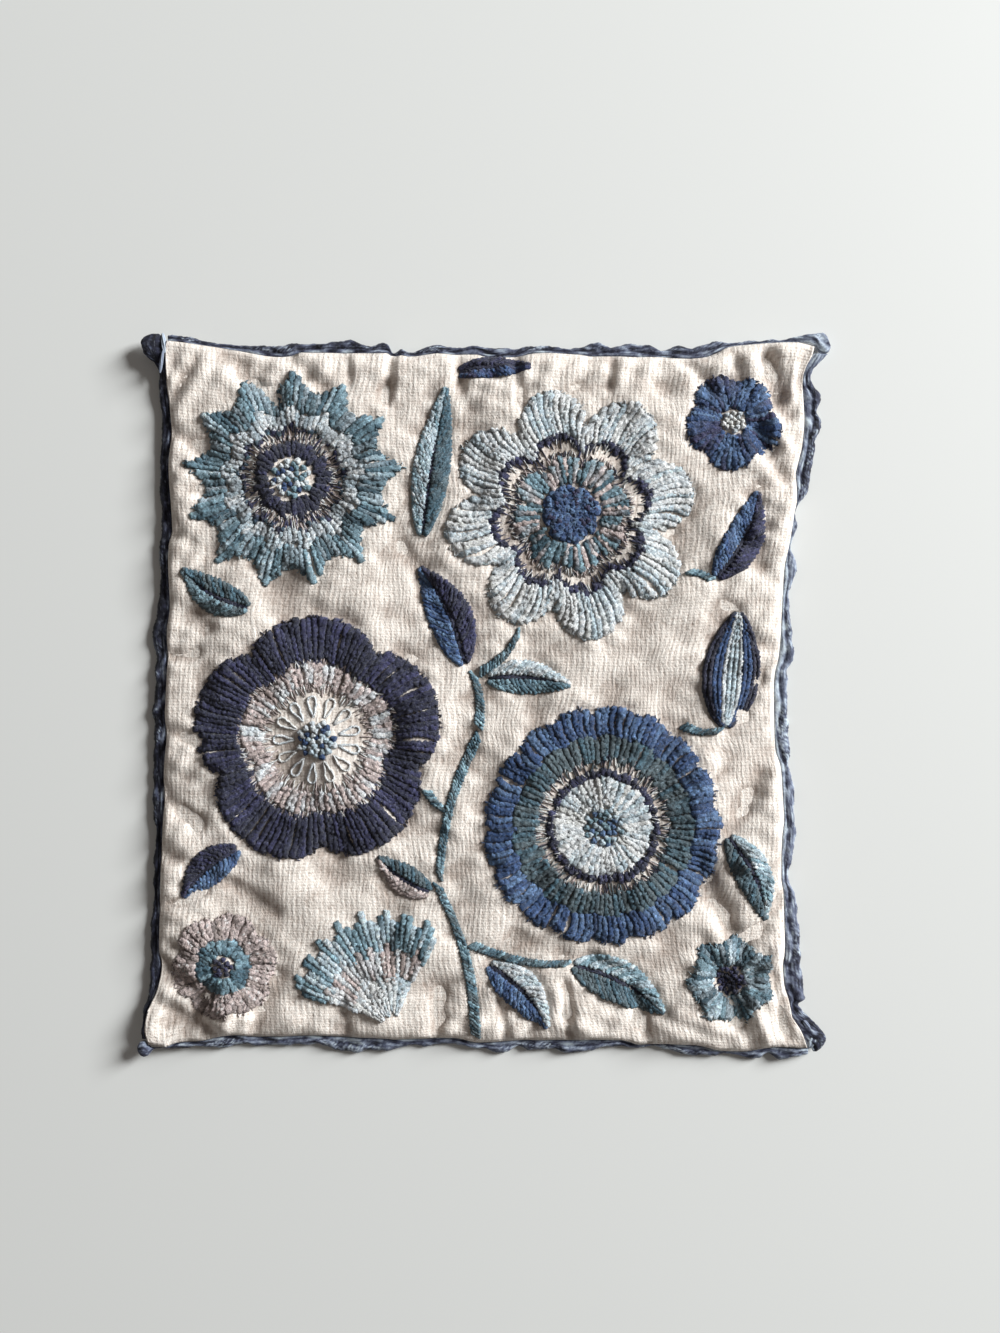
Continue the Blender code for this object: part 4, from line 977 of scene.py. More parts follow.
def strands(lines, width, colours, rise=YARN_HEIGHT, lift=0.0, seed=1, step=YARN_STEP):
    """Thick yarn along each line: an arch of points carried along it and closed below.
    It swells and narrows at each twist of the yarn, leans to and fro, and rounds off at its ends.
    lines has one row of control points for each strand, and colours one or more for each."""
    chance = np.random.default_rng(seed)
    lines = np.asarray(lines, float)
    total, controls = lines.shape[:2]
    spans = np.linalg.norm(np.diff(lines, axis=1), axis=2).sum(axis=1)
    rings = np.maximum(3, np.ceil(spans / step).astype(int) + 1)
    owner = np.repeat(np.arange(total), rings)
    first = np.repeat(np.cumsum(rings) - rings, rings)
    share = (np.arange(len(owner)) - first) / (rings[owner] - 1.0)
    at = share * (controls - 1)
    k = np.minimum(at.astype(int), controls - 2)
    f = (at - k)[:, None]
    before = lines[owner, np.maximum(k - 1, 0)]
    here = lines[owner, k]
    there = lines[owner, k + 1]
    after = lines[owner, np.minimum(k + 2, controls - 1)]
    centre = 0.5 * (2.0 * here + (there - before) * f + (2.0 * before - 5.0 * here
             + 4.0 * there - after) * f**2 + (3.0 * here - before - 3.0 * there + after) * f**3)
    ahead = there - here + 1e-6
    ahead = ahead / np.linalg.norm(ahead, axis=1)[:, None]
    aside = np.stack([-ahead[:, 1], ahead[:, 0]], axis=1)
    run = share * spans[owner]
    start = chance.uniform(0.0, math.tau, total)[owner]
    pitch = YARN_TWIST * chance.uniform(0.85, 1.2, total)[owner]
    twist = math.tau * run / pitch + start
    left = np.minimum(run, spans[owner] - run)
    width = np.asarray(width, float)
    width = width[0] + (width[1] - width[0]) * share if width.ndim else np.full(len(owner), width)
    ends = np.sqrt(np.clip(left / (0.55 * width), 0.03, 1.0))
    swell = 1.0 + 0.06 * np.cos(twist) + 0.05 * chance.normal(size=len(owner))
    half = 0.5 * width * (0.6 + 0.4 * ends) * swell
    high = np.broadcast_to(np.asarray(rise, float), (total,))[owner]
    uneven = 1.0 + 0.05 * np.cos(twist + 0.6) + 0.12 * chance.normal(size=len(owner))
    high = high * ends * uneven
    centre = centre + aside * (0.07 * width * np.sin(twist))[:, None]
    centre = centre + 0.12 * chance.normal(size=(len(owner), 2))
    base = ground(centre[:, 0], centre[:, 1]) + np.broadcast_to(lift, (total,))[owner]
    fuzz = YARN_FUZZ * width[:, None]
    arch = [np.column_stack([centre + aside * (side * half)[:, None], base + up * high])
            for side, up, _ in ARCH]
    points = np.stack(arch, axis=1)
    points = points + fuzz[..., None] * chance.normal(size=points.shape) * np.array([0.7, 0.7, 1.0])
    colours = np.asarray(colours, float)
    if colours.ndim == 2:
        colours = colours[:, None]
    reach = share * (colours.shape[1] - 1)
    c = np.minimum(reach.astype(int), max(colours.shape[1] - 2, 0))
    g = (reach - c)[:, None]
    later = np.minimum(c + 1, colours.shape[1] - 1)
    colour = colours[owner, c] * (1 - g) + colours[owner, later] * g
    uneven = 1.0 + 0.07 * np.cos(twist + 0.9) + 0.10 * chance.normal(size=len(owner))
    colour = colour * uneven[:, None]
    n = len(ARCH)
    shade = np.array([part[2] for part in ARCH])
    speckle = 1.0 + 0.30 * chance.normal(size=(len(owner), n, 1))
    painted = colour[:, None] * shade[None, :, None] * speckle
    fleck = chance.random(size=(len(owner), n, 1))
    # Flecks go only on the crown points, where the painted shade is lightest, so they also paint a
    # highlight on top.
    fleck = np.clip((fleck - NO_FLECK) / (1.0 - NO_FLECK), 0.0, 1.0) * (shade > 0.9)[None, :, None]
    painted = painted + fleck * (0.9 * colour[:, None] + FLECK)
    painted = np.clip(painted, LEAST_COLOUR, 1.0)
    ring = np.arange(len(owner))
    joined = ring[:-1][owner[:-1] == owner[1:]]
    j = np.arange(n)
    a = joined[:, None] * n + j
    b = joined[:, None] * n + (j + 1) % n
    quads = np.stack([a, b, b + n, a + n], axis=-1).reshape(-1, 4)
    heads = ring[np.r_[True, owner[1:] != owner[:-1]]]
    tails = ring[np.r_[owner[1:] != owner[:-1], True]]
    caps = np.concatenate([heads[:, None] * n + j[::-1], tails[:, None] * n + j])
    return points.reshape(-1, 3), painted.reshape(-1, 3), [quads, caps]


def knots(places, radius, colours, seed):
    """Wound knots: a lumpy dome of rings about each place, closed below by its lowest ring."""
    chance = np.random.default_rng(seed)
    count = len(places)
    rows, n = len(KNOT_RINGS), KNOT_AROUND
    around = np.linspace(0.0, math.tau, n + 1)[:-1]
    start = chance.uniform(0.0, math.tau, count)
    base = ground(places[:, 0], places[:, 1])[:, None]
    points = []
    for out, up, _ in KNOT_RINGS:
        lump = 1.0 + 0.16 * np.sin(3.0 * around[None] + start[:, None] + 2.5 * up)
        reach = radius[:, None] * out * lump
        x = places[:, :1] + reach * np.cos(around + 1.2 * up)
        y = places[:, 1:2] + reach * np.sin(around + 1.2 * up)
        points.append(np.stack([x, y, base + radius[:, None] * 1.15 * up * lump], axis=-1))
    points = np.stack(points, axis=1)
    shade = np.array([row[2] for row in KNOT_RINGS])[None, :, None, None]
    tone = 1.0 + 0.14 * chance.normal(size=(count, rows, n, 1))
    painted = np.clip(np.asarray(colours)[:, None, None] * shade * tone, LEAST_COLOUR, 1.0)
    first = (np.arange(count) * rows * n)[:, None]
    quads = (first[..., None] + tube_faces(rows, n)).reshape(-1, 4)
    ring = np.arange(n)
    top = first + (rows - 1) * n + ring
    return points.reshape(-1, 3), painted.reshape(-1, 3), [quads, top, first + ring[::-1]]


def picked(names, count, seed):
    """A yarn colour for each strand, drawn from the named ones, lighter or darker by chance."""
    chance = np.random.default_rng(seed)
    shades = np.stack([linear(YARNS[name]) for name in names])
    chosen = shades[chance.integers(0, len(names), count)]
    return chosen * chance.uniform(0.86, 1.14, (count, 1))


def band(flower, low, high, ragged, names, seed):
    """A ring of radial strands from the low to the high share of the flower's radius.
    The outer end follows the petals, and the inner one is uneven by the ragged share."""
    chance = np.random.default_rng(seed)
    x, y, radius, _, notch = flower[:5]
    count = int(math.tau * radius * (0.25 * low + 0.75 * high) / YARN_PITCH)
    angle = (np.arange(count) + chance.uniform(-0.2, 0.2, count)) * math.tau / count
    edge = petal_edge(flower, angle) / radius
    inner = low * (1.0 + (edge - 1.0) * low) + ragged * chance.uniform(-1.0, 0.6, count)
    outer = high * (1.0 + (edge - 1.0) * high**0.5) + 0.018 * chance.uniform(-1.0, 1.0, count)
    inner, outer = radius * inner, radius * outer
    t = np.linspace(0.0, 1.0, 5)
    reach = inner[:, None] + (outer - inner)[:, None] * t
    sway = chance.normal(size=(count, 1)) * 0.012 + 0.03 * math.sin(seed)
    bent = angle[:, None] + sway * np.sin(math.pi * t)
    lines = at_angle(x, y, reach, bent)
    spread = 1.32 * math.tau * radius / count
    width = (spread * max(low, 0.62 * high), spread * 0.97 * high)
    # Painted shade: strands in the notches between petals are painted darker.
    notch_shade = 1.0 - 0.45 * np.clip((1.0 - edge) / max(notch, 0.05), 0.0, 1.0) ** 3
    tint = picked(names, count, seed + 50) * notch_shade[:, None]
    tip = picked(names, count, seed + 90) * notch_shade[:, None]
    return strands(lines, width, np.stack([tint, 0.5 * (tint + tip), tip], axis=1), seed=seed)


def whiskers(flower, share, long, names, seed):
    """Fine single threads across the inner edge of a ring, of uneven length and slant."""
    chance = np.random.default_rng(seed)
    x, y, radius = flower[:3]
    count = int(math.tau * radius * share / 0.9)
    angle = (np.arange(count) + chance.uniform(-0.5, 0.5, count)) * math.tau / count
    edge = petal_edge(flower, angle) / radius
    outer = radius * share * (1.0 + (edge - 1.0) * share) + chance.uniform(1.0, 4.5, count)
    inner = outer - long * chance.uniform(0.5, 1.25, count)
    t = np.linspace(0.0, 1.0, 3)
    reach = inner[:, None] + (outer - inner)[:, None] * t
    bent = angle[:, None] + chance.normal(size=(count, 1)) * 0.05 * t[None, ::-1]
    high = np.where(reach[:, 1] > radius * share, 1.9, 1.3)
    return strands(at_angle(x, y, reach, bent), 0.85, picked(names, count, seed), rise=high,
                   lift=0.1, seed=seed, step=THREAD_STEP)


def down(flower, names, seed):
    """Short fine hairs of the wool that stand out from the flower's outer edge."""
    chance = np.random.default_rng(seed)
    x, y, radius = flower[:3]
    count = int(math.tau * radius)
    angle = chance.uniform(0.0, math.tau, count)
    start = petal_edge(flower, angle) - chance.uniform(0.5, 4.0, count)
    slant = angle + chance.normal(size=count) * 0.8
    long = chance.uniform(1.5, 3.8, count)
    root = at_angle(x, y, start, angle)
    t = np.linspace(0.0, 1.0, 3)[None, :, None]
    ahead = at_angle(0.0, 0.0, 1.0, slant)[:, None]
    bend = np.stack([-np.sin(slant), np.cos(slant)], axis=1)[:, None]
    lines = root[:, None] + ahead * long[:, None, None] * t
    lines = lines + bend * chance.normal(size=(count, 1, 1)) * 0.5 * np.sin(math.pi * t)
    return strands(lines, 0.6, picked(names, count, seed), rise=1.6, lift=0.3, seed=seed,
                   step=THREAD_STEP)


def heart(flower, share, names, size, seed):
    """Knots packed over the flower's middle, by the golden angle."""
    chance = np.random.default_rng(seed)
    x, y, radius = flower[:3]
    reach = radius * share
    count = max(5, int(1.1 * (reach / size) ** 2))
    k = np.arange(count) + 0.5
    out = reach * np.sqrt(k / count)
    turn = k * GOLDEN_ANGLE + chance.uniform(-0.15, 0.15, count)
    sizes = size * chance.uniform(0.85, 1.15, count)
    return knots(at_angle(x, y, out, turn), sizes, picked(names, count, seed + 7), seed)


def loops(flower, share, long, names, count, seed):
    """Open chain loops that stand round a middle, each a narrow drop of one strand."""
    x, y, radius = flower[:3]
    angle = (np.arange(count) + 0.5) * math.tau / count
    t = np.linspace(0.0, 1.0, 9)
    out = radius * share + long * np.sin(math.pi * t)[None] ** 0.8 * np.ones((count, 1))
    side = 0.20 * long * np.sin(math.tau * t)[None] * np.ones((count, 1))
    px = x + out * np.cos(angle)[:, None] - side * np.sin(angle)[:, None]
    py = y + out * np.sin(angle)[:, None] + side * np.cos(angle)[:, None]
    lines = np.stack([px, py], axis=-1)
    return strands(lines, 1.7, picked(names, count, seed), rise=1.5, seed=seed)


def leaf(x0, y0, x1, y1, width, bow, light, dark, seed):
    """A leaf in two halves of slanting strands that meet along a low navy strand down the midrib,
    which paints the dark shade of the crevice between them.
    """
    chance = np.random.default_rng(seed)
    length = math.hypot(x1 - x0, y1 - y0)
    count = int(length / LEAF_PITCH)
    parts = []
    for side, names in ((1.0, light), (-1.0, dark)):
        t = (np.arange(count) + 0.5 + chance.uniform(-0.15, 0.15, count)) / count
        root = np.clip(t - 0.13, 0.0, 1.0)
        spine, ahead, aside = rib_line(x0, y0, x1, y1, bow, root)
        tip_t = np.clip(t + 0.05, 0.0, 0.992)
        edge = rib_line(x0, y0, x1, y1, bow, tip_t)[0]
        half = half_wide(width, np.clip(tip_t, 0.01, 0.99))
        out = edge + side * (half * chance.uniform(0.94, 1.02, count))[:, None] * aside
        inside = spine + side * chance.uniform(1.0, 1.9, (count, 1)) * aside
        s = np.linspace(0.0, 1.0, 4)[None, :, None]
        lines = inside[:, None] * (1 - s) + out[:, None] * s
        lines = lines - ahead * (0.10 * half[:, None, None] * np.sin(math.pi * s))
        near = picked(names, count, seed + int(side) + 3)
        far = picked(names, count, seed + int(side) + 9)
        parts.append(strands(lines, LEAF_WIDTH, np.stack([near, far], axis=1), seed=seed))
    # The low navy strand down the midrib is a painted shade of the crevice between the halves.
    midrib_shade = rib_line(x0, y0, x1, y1, bow, np.linspace(0.0, 0.93, 14))[0]
    parts.append(strands(midrib_shade[None], 3.4, picked(("navy",), 1, seed), rise=0.9, lift=0.1, seed=seed))
    return gathered(parts)


def stem(x0, y0, x1, y1, width, bow, names, seed):
    """A rope stem: short strands laid slantwise across it, one after another."""
    chance = np.random.default_rng(seed)
    length = math.hypot(x1 - x0, y1 - y0)
    count = int(length / STEM_PITCH)
    t = (np.arange(count) + 0.5) / count
    line, ahead, aside = rib_line(x0, y0, x1, y1, bow, t)
    slant = 0.45 * width * chance.uniform(0.9, 1.1, (count, 1))
    low = line - slant * aside - 0.55 * width * ahead
    high = line + slant * aside + 0.55 * width * ahead
    s = np.linspace(0.0, 1.0, 3)[None, :, None]
    lines = low[:, None] * (1 - s) + high[:, None] * s
    return strands(lines, 2.7, picked(names, count, seed + 4), rise=2.1, seed=seed)


def fan(low, high, ragged, names, seed):
    """Radial strands of the fan-shaped flower between two shares of its radius."""
    chance = np.random.default_rng(seed)
    x, y, radius, half_angle, heading, teeth = FAN
    wide = math.radians(2.0 * half_angle) * radius * 0.5 * (low + high)
    count = int(wide / YARN_PITCH)
    t = np.linspace(-0.985, 0.985, count)
    tooth = np.abs(np.cos(0.5 * math.pi * teeth * (t + 1.0)))
    reach = radius * (1.0 - 0.13 * tooth - 0.06 * t * t)
    pinch = 0.62 + 0.38 * min(1.0, 0.5 * (low + high) + 0.25)
    angle = np.radians(heading + half_angle * t * pinch)
    inner = reach * low + radius * ragged * chance.uniform(-1.0, 0.6, count)
    outer = reach * high
    s = np.linspace(0.0, 1.0, 5)
    out = inner[:, None] + (outer - inner)[:, None] * s
    lines = at_angle(x, y, out, angle[:, None])
    tint = picked(names, count, seed + 5)
    tip = picked(names, count, seed + 6)
    spread = 1.2 * wide / count / (0.5 * (low + high))
    return strands(lines, (spread * low, spread * high), np.stack([tint, tip], axis=1), seed=seed)


def bud(names, low, high, seed):
    """Strands along the closed bud, between two shares of its half width."""
    x0, y0, x1, y1, width = BUD
    count = max(1, round((high - low) * 0.5 * width / LEAF_PITCH))
    parts = []
    for side in (1.0, -1.0):
        share = low + (high - low) * (np.arange(count) + 0.5) / count
        t = np.linspace(0.015, 0.985, 16)
        line, _, aside = rib_line(x0, y0, x1, y1, 0.0, t)
        off = side * share[:, None] * half_wide(width, t)[None]
        lines = line[None] + off[..., None] * aside
        parts.append(strands(lines, LEAF_WIDTH, picked(names, count, seed), seed=seed))
    return gathered(parts)


def sewn(name, parts):
    """One mesh of wool, coloured point by point, that rides on the cover."""
    points, colours, faces = gathered(parts)
    piece = solid(name, points, faces)
    paint_points(piece, "dye", colours)
    piece.data.materials.append(wool.material)
    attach(piece, "root")
    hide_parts("front_panel")


wool = Nodes("wool_yarn")
dye = wool.add("ShaderNodeAttribute", 0, {"attribute_name": "dye"})
where = wool.add("ShaderNodeTexCoord", 3)
fluff = wool.noise(where, 1250.0, 2.0, 0.8)
curl = wool.noise(where, 820.0, 3.0, 0.8)
flecks = wool.noise(where, 950.0, 2.0, 0.7)
lit = wool.add("ShaderNodeVectorMath", 0, {"operation": "MULTIPLY_ADD"}, n0=dye,
               n1=(1.45, 1.45, 1.4), n2=(0.045, 0.05, 0.065))
pit = wool.add("ShaderNodeVectorMath", 0, {"operation": "MULTIPLY"}, n0=dye,
               n1=(0.36, 0.37, 0.40))
# Painted shade and highlight of the fuzz: darker toward pit where the curl noise is low, paler toward
# lit where the fluff noise is high, as the bump below rises and falls.
dark = wool.between(wool.ranged(curl, 0.54, 0.34, 0.0, 0.9), dye, pit)
pale = wool.between(wool.ranged(fluff, 0.48, 0.66, 0.0, 0.75), dark, lit)
full = wool.between(wool.ranged(flecks, 0.62, 0.72, 0.0, 0.25), pale, (0.70, 0.73, 0.78, 1.0))
wool.surface(full, 0.9, 0.15, 0.22)
wool.set(wool.shader, "Sheen Roughness", 0.6)
wool.raised(wool.summed((curl, 0.7), (fluff, 0.5)), 1.0, 0.0022)

for number, flower in enumerate(FLOWERS):
    layers = [band(flower, *row[1:4], row[4], 10 * number + k)
              for k, row in enumerate(BANDS) if row[0] == number]
    outer_wools = [row[4] for row in BANDS if row[0] == number][0]
    layers.append(down(flower, outer_wools, 330 + number))
    _, share, names, size = HEARTS[number]
    layers.append(heart(flower, share, names, size, 300 + number))
    layers += [whiskers(flower, *row[1:], 350 + 10 * number + k)
               for k, row in enumerate(WHISKERS) if row[0] == number]
    if number in LOOPS:
        layers.append(loops(flower, *LOOPS[number], 400 + number))
    sewn(f"flower_{number + 1}", layers)

STEM_YARNS = ("charcoal", "teal_deep", "teal")
leaf_rows = [(*row, *names) for row, names in zip(LEAVES, LEAF_YARNS)]
sewn("leaves", [leaf(*row, 500 + k) for k, row in enumerate(leaf_rows)])
sewn("stems", [stem(*row, STEM_YARNS, 600 + k) for k, row in enumerate(STEMS)])
sewn("fan_flower", [fan(*row, 700 + k) for k, row in enumerate(FAN_BANDS)])
sewn("bud", [bud(*row, 800 + k) for k, row in enumerate(BUD_BANDS)])

# The edging.
# Four strips of crisp navy cotton, folded double and sewn into the seam along each side.
# They are creased and frayed by wear, and their ends are bunched up at the corners.
STRIP_STEP = 1.2
STRIP_AROUND = 24
STRIP_GIRTH = 0.012
TABLE_GAP = 0.15

# Each strip: node, rows, whether it runs upright, side to which it hangs out, and lean.
STRIP_SIDES = (
    ("edging_top", TOP_ROWS, False, 1.0, 1.0),
    ("edging_right", RIGHT_ROWS, True, 1.0, 1.1),
    ("edging_bottom", BOTTOM_ROWS, False, -1.0, 1.2),
    ("edging_left", LEFT_ROWS, True, -1.0, 1.9),
)

# Painted light along each strip: place, tone of the inner fold and of the outer one. 0 is the
# dark navy of painted shade in a deep crease and 1 the painted highlight on the cloth's pale face.
# The right strip, facing the light, is painted pale, and the left one, in shadow, dark.
STRIP_LIGHT_AND_SHADE = {
    "edging_top": (
        (-230.0, 0.56, 0.20), (-150.0, 0.50, 0.26), (-60.0, 0.40, 0.26), (-20.0, 0.44, 0.36),
        (75.0, 0.50, 0.40), (150.0, 0.48, 0.40), (176.0, 0.56, 0.48), (220.0, 0.64, 0.55),
        (236.0, 0.80, 0.72), (250.0, 0.80, 0.72),
    ),
    "edging_right": (
        (-255.0, 0.82, 0.10), (-247.0, 0.66, 0.12), (-240.0, 0.30, 0.14), (-222.0, 0.30, 0.26),
        (-205.0, 0.56, 0.36), (-180.0, 0.62, 0.50), (-100.0, 0.84, 0.58), (0.0, 0.92, 0.60),
        (60.0, 0.88, 0.55), (120.0, 0.90, 0.82), (150.0, 0.74, 0.38), (220.0, 0.55, 0.26),
        (246.0, 0.76, 0.68),
    ),
    "edging_bottom": (
        (-248.0, 0.40, 0.35), (-200.0, 0.55, 0.45), (-120.0, 0.66, 0.55), (-60.0, 0.62, 0.50),
        (20.0, 0.70, 0.58), (100.0, 0.60, 0.50), (160.0, 0.72, 0.58), (232.0, 0.60, 0.50),
    ),
    "edging_left": (
        (-245.0, 0.38, 0.20), (-100.0, 0.28, 0.10), (-40.0, 0.42, 0.08), (60.0, 0.46, 0.08),
        (130.0, 0.26, 0.08), (236.0, 0.20, 0.08), (260.0, 0.10, 0.10),
    ),
}

# Colours of the edging cloth from the painted shade of the deepest crease to the painted highlight
# of the palest face, from 0 to 255.
SHADE_TO_LIGHT_COLOURS = ((17, 18, 30), (46, 48, 68), (94, 101, 122), (146, 156, 173), (190, 202, 211))
SHADE_TO_LIGHT_STOPS = np.stack([linear(stop) for stop in SHADE_TO_LIGHT_COLOURS])


def colour_in_light(tone):
    """Colour of the edging cloth for each tone from 0 to 1, from painted shade to painted highlight.
    """
    at = np.clip(tone, 0.0, 1.0) * (len(SHADE_TO_LIGHT_STOPS) - 1)
    k = np.minimum(at.astype(int), len(SHADE_TO_LIGHT_STOPS) - 2)
    return SHADE_TO_LIGHT_STOPS[k] * (1 - (at - k))[..., None] + SHADE_TO_LIGHT_STOPS[k + 1] * (at - k)[..., None]


def uneven(place, length, count, seed):
    """Smooth uneven values along a strip, the same over its whole width."""
    return ripples(place, 0.0 * place, length, count, seed)


def creases(place, across, length, slant, seed):
    """Sharp-edged relief from -1 to 1: folds across the strip at uneven steps, laid slantwise."""
    chance = np.random.default_rng(seed)
    wander = 1.6 * ripples(place, across * 3.0, 5.0 * length, 5, seed + 1)
    turn = math.tau * place / length + slant * across + wander + chance.uniform(0.0, 6.0)
    return 1.0 - 2.0 * np.abs(np.sin(0.5 * turn))


def edging(name, rows, upright, outward, lean, seed):
    """One strip. Its closed section has an upper and a lower run of points. The upper one is
    two soft folds with a crease between them, and folds across the strip crumple both."""
    places = [row[0] for row in rows]
    count = int((max(places) - min(places)) / STRIP_STEP)
    place = np.linspace(min(places), max(places), count)
    inner = through_rows(rows, 1, place) + 0.1 * outward
    outer = through_rows(rows, 2, place)
    thick = through_rows(rows, 3, place)
    flat = np.clip((3.2 - thick) / 1.4, 0.0, 1.0)[:, None]
    half = STRIP_AROUND // 2
    s = np.concatenate([np.linspace(0.0, 1.0, half), np.linspace(1.0, 0.0, half)])[None]
    upper = np.concatenate([np.ones(half), -np.ones(half)])[None]
    p = np.broadcast_to(place[:, None], (count, STRIP_AROUND))
    width = (outer - inner)[:, None]
    wide = np.abs(width)
    fray = 0.45 * uneven(place, 13.0, 8, seed + 2)[:, None]
    fray = (fray + 0.14 * uneven(place, 3.0, 8, seed + 8)[:, None]) * s**3 * outward
    across = inner[:, None] + s * width + fray
    x, y = (across, p) if upright else (p, across)
    seam_x, seam_y = (inner, place) if upright else (place, inner)
    base = seam_height(seam_x, seam_y)[:, None] + 0.2

    # Height: two soft folds where the strip is flat, a round gathered roll where it is thick.
    split = 0.42 + 0.10 * uneven(place, 30.0, 5, seed + 3)[:, None]
    first = np.sin(math.pi * np.clip(s / split, 0.0, 1.0)) ** 0.7
    second = np.sin(math.pi * np.clip((s - split) / (1.0 - split), 0.0, 1.0)) ** 0.6
    size = np.clip(wide / 10.0, 0.25, 1.2)
    folds = size * (first + 1.5 * second)
    crumple = 0.50 * creases(p, s, 27.0, 3.4, seed) + 0.34 * creases(p, s, 14.0, -4.0, seed + 4)
    crumple = crumple + 0.16 * creases(p, s, 6.0, 5.0, seed + 5)
    body = 1.0 - (2.0 * s - 1.0) ** 4
    thin = 0.5 * np.minimum(thick, 1.7)[:, None] * body + 0.25
    level = base - lean * flat * s + 0.8 * size * crumple * body
    round_up = 0.5 * thick[:, None] * np.sqrt(np.clip(1.0 - (1.7 * s - 0.85) ** 2, 0.05, 1.0))
    swirl = 1.0 + 0.20 * creases(p, s, 11.0, 8.0, seed + 6)
    up_side = flat * (folds + thin) + (1 - flat) * round_up * swirl
    low_side = -flat * thin - (1 - flat) * round_up
    z = level + np.where(upper > 0, up_side, low_side)
    z = np.maximum(z, TABLE_GAP + 0.1 * (upper > 0))
    points = np.stack([x, y, z], axis=-1).reshape(-1, 3)
    quads = tube_faces(count, STRIP_AROUND)
    ring = np.arange(STRIP_AROUND)
    caps = np.stack([ring[::-1], (count - 1) * STRIP_AROUND + ring])
    if (outward > 0) == upright:
        quads = quads[:, ::-1]
        caps = caps[:, ::-1]

    # Tone: the table's painted light, with painted shade in the crease and painted highlight on the
    # crests, then worn spots, streaks and a line.
    table = np.array(STRIP_LIGHT_AND_SHADE[name])
    inside_tone, outside_tone = (np.interp(place, table[:, 0], table[:, k])[:, None] for k in (1, 2))
    tone = np.where(s < split, inside_tone, outside_tone) * np.ones_like(p)
    gap = np.abs(s - split) * wide
    # Painted highlight on the crumpled crests and painted shade along the crease between the folds.
    tone = tone + 0.12 * crumple - 0.26 * np.exp(-((gap / 0.7) ** 2))
    tone = tone + 0.07 * ripples(x, y, 9.0, 8, seed + 7)
    chance = np.random.default_rng(seed + 9)
    rough = 0.08 + 0.20 * (s > split) * np.clip(uneven(p, 60.0, 5, seed + 10), 0.0, 1.0)
    tone = tone + rough * chance.normal(size=np.shape(tone))
    streak = ripples(s * wide, 0.11 * p, 1.9, 10, seed + 13)
    tone = tone + 0.15 * streak * (1.0 + 0.6 * uneven(p, 25.0, 5, seed + 14))
    fine = np.abs(s - 0.16 - 0.05 * uneven(p, 22.0, 5, seed + 11)) * wide
    line = 0.26 * np.exp(-((fine / 0.35) ** 2)) * (0.6 + 0.4 * uneven(p, 16.0, 5, seed + 12))
    piece = solid(name.replace("edging", "strip"), points, [quads, caps])
    paint_points(piece, "dye", colour_in_light(tone + line).reshape(-1, 3))
    girth = np.cumsum(np.abs(np.diff(s, prepend=0.0)), axis=1) * STRIP_GIRTH
    map_points(piece, np.stack([girth * np.ones_like(p), p * MM], axis=-1).reshape(-1, 2))
    piece.data.materials.append(cotton.material)
    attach(piece, "root")
    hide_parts(name)
    return piece


cotton = Nodes("edging_cotton")
tint = cotton.add("ShaderNodeAttribute", 0, {"attribute_name": "dye"})
where = cotton.add("ShaderNodeTexCoord", 3)
grain = cotton.noise(where, (900.0, 900.0, 900.0), 3.0, 0.6)
wear_and_shade = cotton.noise(where, 190.0, 4.0, 0.65)
threads = cotton.noise(cotton.cloth_map()[0], (1400.0, 160.0, 1.0), 2.0, 0.6)
# Paler worn spots where the wear noise is high. Where it is low, painted shade darkens the lows of
# the bump almost to black.
lighter = cotton.between(cotton.ranged(wear_and_shade, 0.54, 0.78, 0.0, 0.28), tint, (0.33, 0.36, 0.44, 1.0))
pale = (0.46, 0.50, 0.57, 1.0)
thread = cotton.between(cotton.ranged(threads, 0.62, 0.74, 0.0, 0.35), lighter, pale)
ink = (0.006, 0.007, 0.02, 1.0)
shaded_lows = cotton.between(cotton.ranged(wear_and_shade, 0.46, 0.28, 0.0, 0.5), thread, ink)
cotton.surface(shaded_lows, 0.78, 0.25, 0.15)
cotton.raised(cotton.summed((wear_and_shade, 0.8), (grain, 0.3)), 0.8, 0.0012)
strips = [edging(*row, 900 + 20 * k) for k, row in enumerate(STRIP_SIDES)]


# Small folds of the strips' ends that close the corners: middle x, y and height,
# half length, half width, half height, turn in degrees, tone of its painted light and a number for
# the creases.
TUCK_AROUND = 24
TUCK_RINGS = 15
TUCKS = (
    (-228.9, 253.2, 10.6, 7.4, 1.6, 2.2, 96.0, 0.84, 1),
    (-229.9, 239.6, 12.8, 8.2, 1.1, 1.5, 82.0, 0.64, 2),
    (-226.6, -247.2, 5.0, 5.5, 2.2, 2.4, -15.0, 0.45, 3),
    (232.4, -249.6, 4.4, 6.0, 3.2, 3.0, 16.0, 0.72, 4),
    (235.0, -246.4, 6.2, 5.6, 3.6, 2.4, 58.0, 0.82, 5),
    (233.0, -237.5, 6.4, 6.6, 1.8, 1.6, -58.0, 0.58, 6),
)


